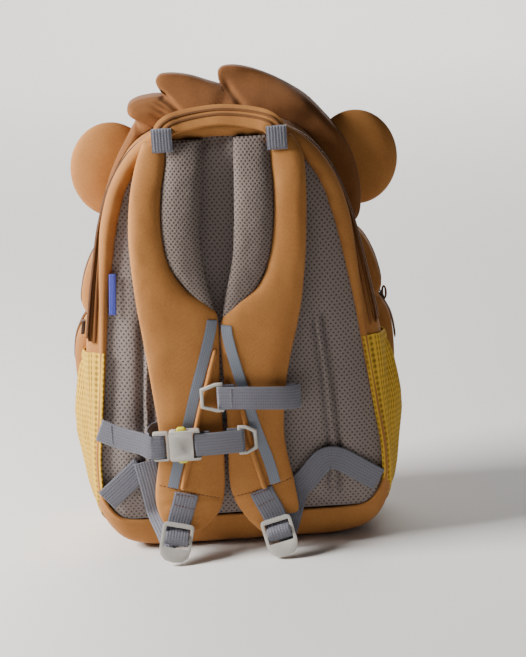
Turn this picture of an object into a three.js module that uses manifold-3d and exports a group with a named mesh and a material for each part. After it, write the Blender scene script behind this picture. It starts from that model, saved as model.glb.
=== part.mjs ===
// A small child's animal backpack, standing on its base. Millimetres, +Z up.
// The harness side faces -Y, the animal's face +Y, and the origin is the centre of the base.
import * as THREE from 'three';
import Module from 'manifold-3d';
import { LoftGeometry } from 'three/addons/geometries/LoftGeometry.js';
import { mergeVertices } from 'three/addons/utils/BufferGeometryUtils.js';

const wasm = await Module();
wasm.setup();

// Body
const bodyWidth = 200; // across the gusset
const bodyHeight = 286; // base to crown
const bodyDepth = 96; // back seam to front seam at the base
const backSeam = -50; // y of the back seam
const topTaper = 0.18; // share of the depth that is lost at the crown
const frontRound = 10; // rounding of the front edge
const wall = 2.5; // padded fabric of the body
const gap = 0.3; // between pieces that touch
const panelProud = 4.5; // how far the back panel is padded out
const panelDepth = 10; // how far it sits in the body
const channelWidth = 2.6; // sewn channels of the back panel
const rimRadius = 6.3; // padded roll at the crown
const panelSoft = 11; // width of the panel's rounded edge
const zipWidth = 12;
const zipThick = 1.4;

// Head and front
const headShift = 5; // the head is sewn on a little to the right
const headDepth = 45;
const headStart = -8; // y where the padded head begins on the gusset
const earWidth = 55;
const earHeight = 63;
const earThick = 15;
const pocketDepth = 54;
const pocketStart = 14; // y where the front pocket begins on the gusset
const faceThick = 2; // appliqué pieces of the face
const eyeWidth = 17;
const muzzleWidth = 96;
const muzzleHeight = 62;
const noseWidth = 34;

// Side pockets
const sideWall = 1.8;
const sideHeight = 120;
const sideBottom = 14;
const sideBack = -49.5; // y of the pocket's back edge
const sideFront = 20;
const sideSlope = 11; // its hem is this much lower in front
const gatherDepth = 0.9;
const gatherCount = 5;

// Harness
const strapStand = 22; // how far the strap faces stand from the back seam
const strapPad = 12; // fullest thickness of a strap
const liningPad = 12.5;
const webbingWidth = 15.5;
const webbingThick = 1.2;
const chestWidth = 15;
const railRadius = 1.7;
const stripeWidth = 7;
const stripeThick = 0.5;
const handleWidth = 15;
const handleThick = 3;
const tabWidth = 14;
const lockWidth = 20.5;
const lockHeight = 26;
const lockThick = 3;
const lockLean = 14; // degrees, sideways
const lockTip = 20; // degrees, away from the bag
const barWidth = 3;
const ringThick = 2.4;
const buckleHeight = 20;
const buckleLength = 20.5;
const plugLength = 10.5;
const buckleThick = 7;
const labelLength = 27;
const labelWidth = 7;

const sideX = (share) => share * bodyWidth / 2;
const levelZ = (share) => share * bodyHeight;
const point = (x, y, z) => new THREE.Vector3(x, y, z);

// Solids

function solidOf(geometry) {
  const bare = new THREE.BufferGeometry();
  bare.setAttribute('position', geometry.attributes.position);
  bare.setIndex(geometry.index);
  const merged = mergeVertices(bare, 1e-4);
  const places = merged.attributes.position;
  const index = [];
  const corners = [point(0, 0, 0), point(0, 0, 0), point(0, 0, 0)];
  let volume = 0;
  for (let i = 0; i < merged.index.count; i += 3) {
    const [a, b, c] = corners.map((corner, k) => {
      const vertex = merged.index.getX(i + k);
      corner.fromBufferAttribute(places, vertex);
      return vertex;
    });
    if (a === b || b === c || c === a) continue;
    index.push(a, b, c);
    volume += corners[0].dot(corners[1].cross(corners[2]));
  }
  if (volume < 0) index.reverse();
  return new wasm.Manifold(new wasm.Mesh({
    numProp: 3,
    vertProperties: new Float32Array(places.array),
    triVerts: new Uint32Array(index),
  }));
}

function middleOf(section) {
  const sum = section.reduce((total, place) => total.add(place), point(0, 0, 0));
  return sum.divideScalar(section.length);
}

// Sections become a solid, each end closed to a hub that sees its whole outline.
function loft(sections, hub = middleOf) {
  const end = (section) => section.map(() => hub(section));
  const rows = [end(sections[0]), ...sections, end(sections.at(-1))];
  return solidOf(new LoftGeometry(rows, { closed: true }));
}

// Sections in a ring, the last joined to the first.
function ringLoft(sections) {
  return solidOf(new LoftGeometry([...sections, sections[0]], { closed: true }));
}

const cut = (solid, ...cutters) => cutters.reduce((left, cutter) => left.subtract(cutter), solid);
const join = (...solids) => solids.reduce((all, solid) => all.add(solid));

function box(x0, x1, y0, y1, z0, z1) {
  const shape = new THREE.BoxGeometry(x1 - x0, y1 - y0, z1 - z0);
  return solidOf(shape.translate((x0 + x1) / 2, (y0 + y1) / 2, (z0 + z1) / 2));
}

// A block with rounded long edges, its outline in X and Z and its thickness along Y.
function plate(x0, x1, z0, z1, y0, y1, radius, holes = []) {
  const shape = roundedOutline(x0, x1, z0, z1, radius);
  for (const hole of holes) shape.holes.push(roundedOutline(...hole));
  const block = new THREE.ExtrudeGeometry(shape, { depth: y1 - y0, bevelEnabled: false, curveSegments: 2 });
  return solidOf(block.rotateX(Math.PI / 2).translate(0, y1, 0));
}

function roundedOutline(x0, x1, z0, z1, radius) {
  const shape = new THREE.Shape();
  shape.moveTo(x0 + radius, z0).lineTo(x1 - radius, z0);
  shape.quadraticCurveTo(x1, z0, x1, z0 + radius).lineTo(x1, z1 - radius);
  shape.quadraticCurveTo(x1, z1, x1 - radius, z1).lineTo(x0 + radius, z1);
  shape.quadraticCurveTo(x0, z1, x0, z1 - radius).lineTo(x0, z0 + radius);
  shape.quadraticCurveTo(x0, z0, x0 + radius, z0);
  return shape;
}

// A flat band along a path; across is the direction of its width. Either may be one for all
// places or a list.
function ribbon(path, width, thickness, across) {
  const sections = path.map((place, i) => {
    const before = path[Math.max(i - 1, 0)];
    const after = path[Math.min(i + 1, path.length - 1)];
    const along = after.clone().sub(before).normalize();
    const wide = (Array.isArray(across) ? across[i] : across).clone();
    wide.addScaledVector(along, -wide.dot(along)).normalize();
    const thick = along.cross(wide);
    const span = Array.isArray(width) ? width[i] : width;
    return [[-1, -1], [1, -1], [1, 1], [-1, 1]].map(([w, t]) => place.clone()
      .addScaledVector(wide, w * span / 2)
      .addScaledVector(thick, t * thickness / 2));
  });
  return loft(sections);
}

// Points of an arc in X and Y, for webbing that turns round a bar; degrees.
function turn(x, y, z, radius, from, to, steps = 4) {
  return Array.from({ length: steps + 1 }, (_, i) => {
    const angle = THREE.MathUtils.degToRad(from + (to - from) * i / steps);
    return point(x + radius * Math.cos(angle), y + radius * Math.sin(angle), z);
  });
}

// A closed puffed section in X and Y; square makes its sides fuller.
function puff(x0, x1, y0, y1, z, sides, square) {
  return Array.from({ length: sides }, (_, i) => {
    const angle = 2 * Math.PI * i / sides;
    const round = (value) => Math.sign(value) * Math.abs(value) ** square;
    return point(
      (x0 + x1) / 2 + (x1 - x0) / 2 * round(Math.cos(angle)),
      (y0 + y1) / 2 + (y1 - y0) / 2 * round(Math.sin(angle)),
      z,
    );
  });
}

// Body outline from the middle of the base up to the crown, right half, as shares of half the
// width and of the height: backX, backZ, fullX, fullZ, and the rim's radius as a share of rimRadius
const outline = [
  [0.00, 0.073, 0.00, 0.000, 0.20],
  [0.62, 0.073, 0.58, 0.000, 0.20],
  [0.83, 0.084, 0.84, 0.028, 0.22],
  [0.935, 0.133, 0.965, 0.105, 0.25],
  [0.955, 0.210, 0.978, 0.224, 0.27],
  [0.915, 0.332, 0.98, 0.343, 0.30],
  [0.875, 0.448, 0.975, 0.455, 0.34],
  [0.84, 0.566, 0.925, 0.573, 0.44],
  [0.80, 0.685, 0.865, 0.685, 0.68],
  [0.755, 0.783, 0.80, 0.783, 0.86],
  [0.665, 0.874, 0.70, 0.874, 0.84],
  [0.50, 0.948, 0.53, 0.948, 0.88],
  [0.26, 0.985, 0.28, 0.986, 0.96],
  [0.00, 0.992, 0.00, 1.000, 1.00],
];
const loopSteps = 36;

// Mirrors a right half to a closed loop of places in X and Z.
function bodyLoop(xColumn, zColumn) {
  const right = outline.map((row) => point(sideX(row[xColumn]), 0, levelZ(row[zColumn])));
  const left = right.slice(1, -1).reverse().map((place) => point(-place.x, 0, place.z));
  const curve = new THREE.CatmullRomCurve3([...right, ...left], true, 'centripetal');
  const base = right[0].z;
  return Array.from({ length: loopSteps }, (_, i) => {
    const place = curve.getPoint(i / loopSteps);
    return place.setZ(Math.max(place.z, base));
  });
}

const backLoop = bodyLoop(0, 1);
const fullLoop = bodyLoop(2, 3);

// Outward normals of a loop in X and Z.
function normalsOf(loop) {
  return loop.map((_, i) => {
    const before = loop[(i + loop.length - 1) % loop.length];
    const after = loop[(i + 1) % loop.length];
    return point(after.z - before.z, 0, before.x - after.x).normalize();
  });
}

function offsetLoop(loop, distance) {
  const normals = normalsOf(loop);
  return loop.map((place, i) => place.clone().addScaledVector(normals[i], distance));
}

const smooth = (share) => THREE.MathUtils.smoothstep(share, 0, 1);

// Sections from the back seam to the front: depth, fullness, rounding of the front edge
const bodyRows = [
  [0.00, 0.00, 0],
  [0.06, 0.70, 0],
  [0.14, 0.95, 0],
  [0.28, 1.00, 0],
  [0.60, 1.00, 0],
  [0.88, 1.00, 0],
  [0.95, 0.99, 0.28],
  [1.00, 0.96, 1],
];

const depthAt = (share, z) => backSeam + share * bodyDepth * (1 - topTaper * smooth(z / bodyHeight));

// The body's outer form, grown or, with a negative value, shrunk on every side.
function bodyForm(grow, backTo = backSeam - Math.max(grow, 0)) {
  return loft(bodyRows.map(([depth, full, round], row) => {
    const loop = backLoop.map((place, i) => place.clone().lerp(fullLoop[i], full));
    const form = offsetLoop(loop, grow - round * frontRound);
    return form.map((place) => {
      const front = depthAt(1, place.z) + grow;
      const last = bodyRows.length - 1;
      const y = row === 0 ? backTo : Math.min(depthAt(depth, place.z), front - (last - row) * 0.5);
      return place.setY(row === last ? front : y);
    });
  }));
}

const body = bodyForm(0);
const bodyGrown = bodyForm(gap);
const shell = cut(body, bodyForm(-wall, backSeam - wall));

// The roll round the panel's edge: half round, flat towards the body, thinner towards the base.
const rimSteps = 6;

function rimForm(grow) {
  const shares = rimShares();
  const seam = offsetLoop(backLoop, -wall * 0.6);
  const normals = normalsOf(backLoop);
  return ringLoft(seam.map((place, i) => {
    const radius = shares[i] * rimRadius + grow;
    return Array.from({ length: rimSteps + 1 }, (_, k) => {
      const angle = Math.PI * k / rimSteps;
      return place.clone().addScaledVector(normals[i], radius * Math.cos(angle))
        .setY(backSeam - gap + grow - (radius + grow) * Math.sin(angle));
    });
  }));
}

function rimShares() {
  return Array.from({ length: loopSteps }, (_, i) => {
    const row = i / loopSteps * (outline.length - 1) * 2;
    const mirrored = row > outline.length - 1 ? (outline.length - 1) * 2 - row : row;
    const low = Math.min(Math.floor(mirrored), outline.length - 2);
    return THREE.MathUtils.lerp(outline[low][4], outline[low + 1][4], mirrored - low);
  });
}

const rim = rimForm(0);
const rimGrown = rimForm(gap);

// The padded panel: depth from the back seam, and inset of its edge
const panelRows = [
  [panelDepth, 0],
  [0, 0],
  [-panelProud * 0.7, panelSoft * 0.36],
  [-panelProud, panelSoft],
];

// Sewn channels, from their top down: height, and distance from the middle as shares
const channelRows = [
  [0.56, 0.58],
  [0.45, 0.605],
  [0.33, 0.63],
  [0.20, 0.64],
  [0.12, 0.62],
];

function panelForm(grow) {
  return loft(panelRows.map(([depth, inset], row) => {
    const loop = offsetLoop(backLoop, -wall - gap - inset + grow);
    return loop.map((place) => place.setY(backSeam + depth + (row === 0 ? grow : -grow)));
  }));
}

function channel(side) {
  return loft(channelRows.map(([height, out]) => {
    const x = side * sideX(out);
    const y = backSeam - panelProud;
    const place = (dx, dy) => point(x + dx, y + dy, levelZ(height));
    return [place(-channelWidth, -1), place(0, channelWidth * 0.7), place(channelWidth, -1)];
  }));
}

const panel = cut(panelForm(0), rimGrown, channel(-1), channel(1));
const panelGrown = panelForm(gap);

// A skin laid on a form, kept where it meets a region.
const skin = (form, thickness, region) => cut(form(gap + thickness).intersect(region), form(gap));

const zipBack = -38; // y of the zip's back edge
const zipClear = 3.5; // between the side pockets' hems and the zip's ends
const sideTop = sideBottom + sideHeight + sideSlope / 2;
const zipLow = sideTop + zipClear;
const zipRegion = box(-bodyWidth, bodyWidth, zipBack, zipBack + zipWidth, zipLow, bodyHeight * 1.2);
const mainZip = skin(bodyForm, zipThick, zipRegion);

// Head: its outline seen from the harness side, right hand bottom corner first and then
// anticlockwise, as shares of half the width and of the height
const headOutline = [
  [0.81, 0.720], [0.855, 0.776], [0.83, 0.853], [0.77, 0.910], [0.66, 0.962], [0.545, 1.008],
  [0.435, 1.037], [0.315, 1.062], [0.17, 1.083], [0.06, 1.091], [-0.01, 1.088], [-0.035, 1.076],
  [-0.01, 1.058], [0.03, 1.044], [-0.08, 1.056], [-0.23, 1.075], [-0.35, 1.082], [-0.42, 1.079],
  [-0.445, 1.066], [-0.425, 1.050], [-0.395, 1.038], [-0.49, 1.036], [-0.585, 1.030], [-0.635, 1.019],
  [-0.64, 1.003], [-0.595, 0.986], [-0.65, 0.951], [-0.73, 0.906], [-0.80, 0.853], [-0.85, 0.790],
  [-0.84, 0.720], [-0.40, 0.705], [0.05, 0.700], [0.45, 0.705],
];

// Its sections from the gusset to the face: depth, and size
const headRows = [
  [0.00, 0.90],
  [0.08, 0.955],
  [0.22, 0.99],
  [0.42, 1.00],
  [0.66, 0.98],
  [0.86, 0.93],
  [1.00, 0.84],
];

const headMiddle = levelZ(0.84);
const headHub = 0.55; // share of half the width: every tuft is in sight from here

function headForm(grow) {
  return loft(headRows.map(([depth, size], row) => headOutline.map(([x, z]) => {
    const place = point(sideX(x) * size, 0, headMiddle + (levelZ(z) - headMiddle) * size);
    const reach = Math.hypot(place.x, place.z - headMiddle);
    place.x *= 1 + grow / reach;
    place.z = headMiddle + (place.z - headMiddle) * (1 + grow / reach);
    const edge = row === 0 ? -grow : row === headRows.length - 1 ? grow : 0;
    return point(headShift + place.x, headStart + depth * headDepth + edge, place.z);
  })), (section) => point(sideX(headHub), section[0].y, headMiddle));
}

const head = cut(headForm(0), bodyGrown);
const headGrown = headForm(gap);

// Ears: padded discs that come out from behind the head's edge
const earRows = [[-1, 0.62], [-0.72, 0.88], [-0.25, 1], [0.25, 1], [0.72, 0.88], [1, 0.62]];
const earPlaces = { left: [-0.775, 0.870], right: [0.835, 0.861] }; // shares, before headShift
const earMiddle = 7; // y
const earSteps = 22;

function ear(side) {
  const [x, z] = earPlaces[side];
  const form = loft(earRows.map(([depth, size]) => Array.from({ length: earSteps }, (_, i) => {
    const angle = 2 * Math.PI * i / earSteps;
    return point(
      headShift + sideX(x) + size * earWidth / 2 * Math.cos(angle),
      earMiddle + depth * earThick / 2,
      levelZ(z) + size * earHeight / 2 * Math.sin(angle),
    );
  })));
  return cut(form, headGrown, bodyGrown);
}

// Front pocket: right half of its outline with two padded lobes, as shares
const pocketOutline = [
  [0.00, 0.140], [0.60, 0.140], [0.86, 0.155], [1.00, 0.215], [1.055, 0.300], [1.085, 0.370],
  [1.085, 0.425], [1.06, 0.470], [1.01, 0.505], [0.985, 0.520], [1.01, 0.545], [0.995, 0.585],
  [0.955, 0.630], [0.89, 0.670], [0.78, 0.700], [0.40, 0.712], [0.00, 0.712],
];

// Its sections from the gusset to the front: depth, and size
const pocketRows = [
  [0.00, 0.965],
  [0.10, 1.00],
  [0.55, 1.00],
  [0.78, 0.95],
  [0.93, 0.86],
  [1.00, 0.74],
];

const pocketMiddle = levelZ(0.40);
const pocketTaper = 0.24;

function pocketForm(grow) {
  const right = pocketOutline.map(([x, z]) => [sideX(x), levelZ(z)]);
  const left = right.slice(1, -1).reverse().map(([x, z]) => [-x, z]);
  return loft(pocketRows.map(([depth, size], row) => [...right, ...left].map(([x, z]) => {
    const reach = Math.hypot(x, z - pocketMiddle);
    const scale = size * (1 + grow / reach);
    const height = pocketMiddle + (z - pocketMiddle) * scale;
    const taper = 1 - pocketTaper * smooth(height / levelZ(0.69));
    const end = row === pocketRows.length - 1 ? grow : 0;
    const start = row === 0 ? Math.abs(grow) : 0;
    return point(x * scale, pocketStart + depth * pocketDepth * taper + end - start, height);
  })));
}

const frontZipBack = 27;
const frontZipThick = 1;
const pocket = cut(pocketForm(0), pocketForm(-wall), bodyGrown, headGrown);
const frontZipEnd = frontZipBack + zipWidth * 0.6;
const pocketZipRegion = box(-bodyWidth, bodyWidth, frontZipBack, frontZipEnd, levelZ(0.40), bodyHeight);
const pocketZip = cut(skin(pocketForm, frontZipThick, pocketZipRegion), headGrown, bodyGrown);

// A plain face: each piece is sewn flat on the form behind it
function facePiece(form, x, z, width, height) {
  const oval = puff(-width / 2, width / 2, -height / 2, height / 2, 0, 20, 0.9);
  const behind = pocketStart + pocketDepth * 0.4;
  const region = loft([behind, bodyDepth].map((y) => oval.map((place) => point(x + place.x, y, z + place.y))));
  return skin(form, faceThick, region);
}

const eyeZ = levelZ(0.795);
const muzzleZ = levelZ(0.50);
const noseZ = muzzleZ + muzzleHeight * 0.25;
const muzzle = facePiece(pocketForm, 0, muzzleZ, muzzleWidth, muzzleHeight);
const nose = facePiece((grow) => pocketForm(grow + faceThick + gap), 0, noseZ, noseWidth, noseWidth * 0.62);
const eyeX = (side) => headShift + side * muzzleWidth * 0.36;
const eye = (side) => facePiece(headForm, eyeX(side), eyeZ, eyeWidth, eyeWidth * 1.2);

// Side pockets, from their bottom up: height share, and how far out as a share of half the body
const sideRows = [
  [0.00, 0.935],
  [0.06, 0.985],
  [0.14, 1.015],
  [0.26, 1.040],
  [0.40, 1.062],
  [0.54, 1.088],
  [0.66, 1.086],
  [0.76, 1.066],
  [0.86, 1.042],
  [0.94, 1.012],
  [1.00, 0.996],
];
const sideSteps = 22;
const sideRoot = 0.78; // where the pocket's section starts inside the body, share

function sideForm(side, thin, top) {
  const rows = top ? [...sideRows, [1 + top, sideRows.at(-1)[1]]] : sideRows;
  return loft(rows.map(([height, out], row) => {
    const floor = row === 0 ? thin : 0;
    const fade = Math.sin(Math.PI * Math.min(height, 1) ** 0.8);
    const places = Array.from({ length: sideSteps + 1 }, (_, i) => {
      const share = i / sideSteps;
      const fold = gatherDepth * fade * Math.cos(2 * Math.PI * gatherCount * share);
      const bulge = Math.sin(Math.PI * share) ** 0.42;
      const x = sideX(sideRoot) + (sideX(out) - thin + fold - sideX(sideRoot)) * bulge;
      const y = THREE.MathUtils.lerp(sideBack + thin, sideFront - thin, share);
      return point(side * x, y, sideBottom + floor + height * (sideHeight - sideSlope * (share - 0.5)));
    });
    return places;
  }));
}

function sidePocket(side) {
  const inner = sideForm(side, sideWall, 0.05);
  return cut(sideForm(side, 0, 0), inner, bodyGrown, pocketForm(gap));
}

// Shoulder straps, from the top down, as shares: height, outer edge, inner edge, face (of
// strapStand) and thickness (of strapPad)
const strapRows = {
  left: [
    [0.965, -0.48, -0.35, 0.40, 0.60],
    [0.920, -0.535, -0.345, 0.58, 0.78],
    [0.853, -0.585, -0.385, 0.84, 0.95],
    [0.776, -0.612, -0.400, 0.98, 1.00],
    [0.699, -0.614, -0.375, 1.00, 0.96],
    [0.636, -0.605, -0.275, 0.97, 0.88],
    [0.590, -0.596, -0.135, 0.93, 0.80],
    [0.545, -0.582, -0.092, 0.88, 0.72],
    [0.413, -0.546, -0.102, 0.78, 0.62],
    [0.280, -0.522, -0.106, 0.74, 0.60],
    [0.161, -0.575, -0.122, 0.73, 0.60],
    [0.105, -0.560, -0.170, 0.70, 0.55],
    [0.063, -0.500, -0.290, 0.64, 0.42],
  ],
  right: [
    [0.965, 0.46, 0.33, 0.40, 0.60],
    [0.920, 0.525, 0.315, 0.58, 0.78],
    [0.853, 0.532, 0.322, 0.84, 0.95],
    [0.776, 0.520, 0.310, 0.98, 1.00],
    [0.699, 0.500, 0.270, 1.00, 0.96],
    [0.636, 0.476, 0.190, 0.97, 0.88],
    [0.590, 0.455, 0.040, 0.93, 0.80],
    [0.545, 0.425, -0.064, 0.88, 0.72],
    [0.413, 0.330, -0.076, 0.78, 0.62],
    [0.280, 0.290, -0.078, 0.74, 0.60],
    [0.161, 0.336, -0.084, 0.73, 0.60],
    [0.095, 0.350, -0.010, 0.68, 0.52],
    [0.045, 0.290, 0.110, 0.60, 0.38],
  ],
};

// The rolled lining at the top of each strap: height, edge at the strap, free edge, face, thickness
const liningRows = {
  left: [
    [0.965, -0.345, -0.095, 0.40, 0.62],
    [0.920, -0.350, -0.105, 0.62, 0.85],
    [0.853, -0.390, -0.130, 0.86, 0.97],
    [0.776, -0.405, -0.155, 0.99, 1.00],
    [0.699, -0.380, -0.150, 0.98, 0.98],
    [0.636, -0.280, -0.126, 0.90, 0.86],
    [0.600, -0.190, -0.108, 0.82, 0.70],
    [0.565, -0.115, -0.092, 0.76, 0.45],
  ],
  right: [
    [0.965, 0.325, 0.088, 0.40, 0.62],
    [0.920, 0.322, 0.080, 0.62, 0.85],
    [0.853, 0.326, 0.070, 0.86, 0.97],
    [0.776, 0.314, 0.055, 0.99, 1.00],
    [0.699, 0.274, 0.030, 0.98, 0.98],
    [0.636, 0.192, -0.015, 0.90, 0.86],
    [0.600, 0.110, -0.040, 0.82, 0.70],
    [0.565, 0.010, -0.064, 0.76, 0.45],
  ],
};

const padSteps = 14;
const padSquare = 0.62;

function padForm(rows, pad, grow) {
  return loft(rows.map(([height, edge, other, face, thick], row) => {
    const front = backSeam - face * strapStand;
    const end = row === 0 ? grow : row === rows.length - 1 ? -grow : 0;
    const [low, high] = [Math.min(edge, other), Math.max(edge, other)];
    return puff(
      sideX(low) - grow,
      sideX(high) + grow,
      front - grow,
      front + thick * pad + grow,
      levelZ(height) + end,
      padSteps,
      padSquare,
    );
  }));
}

const strapForm = (side) => (grow) => padForm(strapRows[side], strapPad, grow);
const liningForm = (side) => (grow) => padForm(liningRows[side], liningPad, grow);

const strap = (side) => cut(strapForm(side)(0), rimGrown, panelGrown, handleForm(gap));
const lining = (side) => cut(
  liningForm(side)(0), strapForm(side)(gap), rimGrown, panelGrown, handleForm(gap),
);

// y of a strap's face at a height share
function faceAt(side, height) {
  const rows = strapRows[side];
  const i = Math.max(rows.findIndex((row) => row[0] <= height), 1);
  const share = (rows[i - 1][0] - height) / (rows[i - 1][0] - rows[i][0]);
  return backSeam - strapStand * THREE.MathUtils.lerp(rows[i - 1][3], rows[i][3], share);
}

// Reflective stripes and chest strap rails: x and height shares, from the top down
const stripeRows = {
  left: [[-0.112, 0.572], [-0.183, 0.485], [-0.258, 0.405], [-0.336, 0.312], [-0.412, 0.230], [-0.462, 0.168]],
  right: [[-0.048, 0.556], [-0.010, 0.481], [0.044, 0.398], [0.110, 0.301], [0.174, 0.228], [0.214, 0.162]],
};
const railRows = {
  left: [[-0.117, 0.495], [-0.176, 0.427], [-0.242, 0.357], [-0.305, 0.276], [-0.366, 0.205], [-0.393, 0.168]],
  right: [[0.016, 0.372], [0.048, 0.315], [0.075, 0.254], [0.116, 0.193], [0.142, 0.158]],
};

function stripe(side) {
  const region = loft(stripeRows[side].map(([x, height]) => {
    const z = levelZ(height);
    const front = faceAt(side, height) - stripeThick * 8;
    const back = faceAt(side, height) + stripeThick * 6;
    const half = stripeWidth / 2;
    const middle = sideX(x);
    const corners = [[-half, front], [half, front], [half, back], [-half, back]];
    return corners.map(([dx, y]) => point(middle + dx, y, z));
  }));
  return skin(strapForm(side), stripeThick, region);
}

function rail(side) {
  const tube = loft(railRows[side].map(([x, height]) => Array.from({ length: 8 }, (_, k) => {
    const angle = Math.PI * (k + 0.5) / 4;
    const y = faceAt(side, height) - railRadius - gap;
    return point(sideX(x) + railRadius * Math.cos(angle), y + railRadius * Math.sin(angle), levelZ(height));
  })));
  return cut(tube, strapForm(side)(gap));
}

// Grab handle, from end to end as shares: x, how far out, height and width, and lean in degrees
const handleOut = 10.2; // its ends from the back seam
const handleRows = [
  [-0.357, 1.00, 0.957, 0.82, 60],
  [-0.355, 0.99, 0.975, 0.84, 58],
  [-0.342, 0.92, 0.990, 0.88, 56],
  [-0.300, 0.76, 1.001, 0.94, 53],
  [-0.225, 0.52, 1.007, 1.00, 50],
  [-0.110, 0.34, 1.012, 1.00, 48],
  [0.010, 0.30, 1.014, 1.00, 47],
  [0.130, 0.34, 1.010, 1.00, 48],
  [0.240, 0.52, 1.003, 1.00, 50],
  [0.312, 0.76, 0.995, 0.94, 53],
  [0.352, 0.92, 0.983, 0.88, 56],
  [0.366, 0.99, 0.968, 0.84, 58],
  [0.369, 1.00, 0.951, 0.82, 60],
];

// The band rises from its ends and turns level, its outer edge on top.
function handleForm(grow) {
  const path = handleRows.map(([x, out, height]) => (
    point(sideX(x), backSeam - out * handleOut, levelZ(height))
  ));
  const across = path.map((_, i) => {
    const before = path[Math.max(i - 1, 0)];
    const heading = path[Math.min(i + 1, path.length - 1)].clone().sub(before).setY(0).normalize();
    const angle = THREE.MathUtils.degToRad(handleRows[i][4]);
    return point(-heading.z, heading.x * Math.cos(angle), heading.x * Math.sin(angle));
  });
  const widths = handleRows.map((row) => row[3] * handleWidth + 2 * grow);
  return ribbon(path, widths, handleThick + 2 * grow, across);
}

const handle = cut(handleForm(0), rimGrown, bodyGrown);

// Tabs wrapped over the handle's ends: how far out, and height, as shares
const tabOut = 13.2; // from the back seam
const tabRows = [
  [0.76, 0.985],
  [0.93, 0.983],
  [0.965, 0.972],
  [0.985, 0.958],
  [1.00, 0.945],
  [0.99, 0.938],
  [0.91, 0.935],
];
const tabPlaces = { left: [-0.357, 0.010], right: [0.365, 0] }; // x, and raised by

function handleTab(side) {
  const [x, raised] = tabPlaces[side];
  const path = tabRows.map(([out, height]) => (
    point(sideX(x), backSeam - out * tabOut, levelZ(height + raised))
  ));
  return cut(
    ribbon(path, tabWidth, webbingThick, point(1, 0, 0)),
    handleForm(gap),
    rimGrown,
    strapForm(side)(gap),
    liningForm(side)(gap),
  );
}

// Webbing from each strap down to its ladder lock
const lockPlaces = { left: [-0.432, 0.092], right: [0.190, 0.090] }; // top bar, shares
const lockOut = 20; // how far the locks stand from the back seam
const slotHeight = 5.2;
const slotRound = 0.6;
const lean = (side) => THREE.MathUtils.degToRad(side === 'left' ? -lockLean : lockLean);

// A lock's own frame: X across it, Z up it, -Y out towards the wearer.
function lockFrame(side) {
  const [x, height] = lockPlaces[side];
  return new THREE.Matrix4()
    .makeTranslation(sideX(x), backSeam - lockOut, levelZ(height))
    .multiply(new THREE.Matrix4().makeRotationY(-lean(side)))
    .multiply(new THREE.Matrix4().makeRotationX(-THREE.MathUtils.degToRad(lockTip)));
}

const atLock = (side, across, down, out) => point(across, -out, -down).applyMatrix4(lockFrame(side));

function ladderLock(side, grow = 0) {
  const half = lockWidth / 2 + grow;
  const bottom = -lockHeight - grow;
  const shape = new THREE.Shape();
  shape.moveTo(-half + barWidth, grow).lineTo(half - barWidth, grow);
  shape.quadraticCurveTo(half, grow, half, -barWidth).lineTo(half, barWidth * 3 - lockHeight);
  shape.quadraticCurveTo(half, bottom, 0, bottom);
  shape.quadraticCurveTo(-half, bottom, -half, barWidth * 3 - lockHeight).lineTo(-half, -barWidth);
  shape.quadraticCurveTo(-half, grow, -half + barWidth, grow);
  const inner = lockWidth / 2 - barWidth * 0.7 - grow;
  const second = barWidth * 2 + slotHeight;
  for (const top of [barWidth, second]) {
    shape.holes.push(roundedOutline(-inner, inner, -top - slotHeight + grow, -top - grow, slotRound));
  }
  const depth = lockThick + 2 * grow;
  const frame = new THREE.ExtrudeGeometry(shape, { depth, bevelEnabled: false, curveSegments: 3 });
  frame.translate(0, 0, -depth / 2).rotateX(Math.PI / 2);
  return solidOf(frame.applyMatrix4(lockFrame(side)));
}

// Down the strap's face, behind the top bar, forward through the first slot, over the middle
// bar and back through the second slot.
const webbingTop = { left: [-0.372, 0.160], right: [0.114, 0.156] };

function strapWebbing(side) {
  const [x, height] = webbingTop[side];
  const half = lockThick / 2 + gap + webbingThick / 2;
  const slotMiddle = barWidth + slotHeight / 2;
  const start = point(sideX(x), faceAt(side, height) - gap - webbingThick / 2, levelZ(height));
  const angle = lean(side);
  const path = [
    start,
    start.clone().lerp(atLock(side, 0, 0, -half), 0.45).setY(start.y - 0.1),
    atLock(side, 0, -3, -half - 0.2),
    atLock(side, 0, barWidth * 0.8, -half),
    atLock(side, 0, slotMiddle - 0.6, -half * 0.3),
    atLock(side, 0, barWidth + slotHeight - 0.6, half * 0.85),
    atLock(side, 0, barWidth * 1.5 + slotHeight, half + 0.25),
    atLock(side, 0, barWidth * 2 + slotHeight + 0.6, half * 0.85),
    atLock(side, 0, barWidth * 2 + slotHeight * 1.5, 0.2),
    atLock(side, 0, barWidth * 2 + slotHeight * 1.5 + 0.2, -half * 0.5),
  ];
  const band = ribbon(path, webbingWidth, webbingThick, point(Math.cos(angle), 0, Math.sin(angle)));
  return cut(band, strapForm(side)(gap), ladderLock(side, gap), stripe(side), rail(side));
}

// Webbing from each lower corner: up to a fold on the panel, then down behind the strap to the
// lock. Shares of half the width and of the height.
const cornerRows = {
  left: { corner: [-0.895, 0.140], fold: [-0.650, 0.212], low: [-0.575, 0.075] },
  right: { corner: [0.885, 0.146], fold: [0.575, 0.214], low: [0.300, 0.085] },
};

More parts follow.
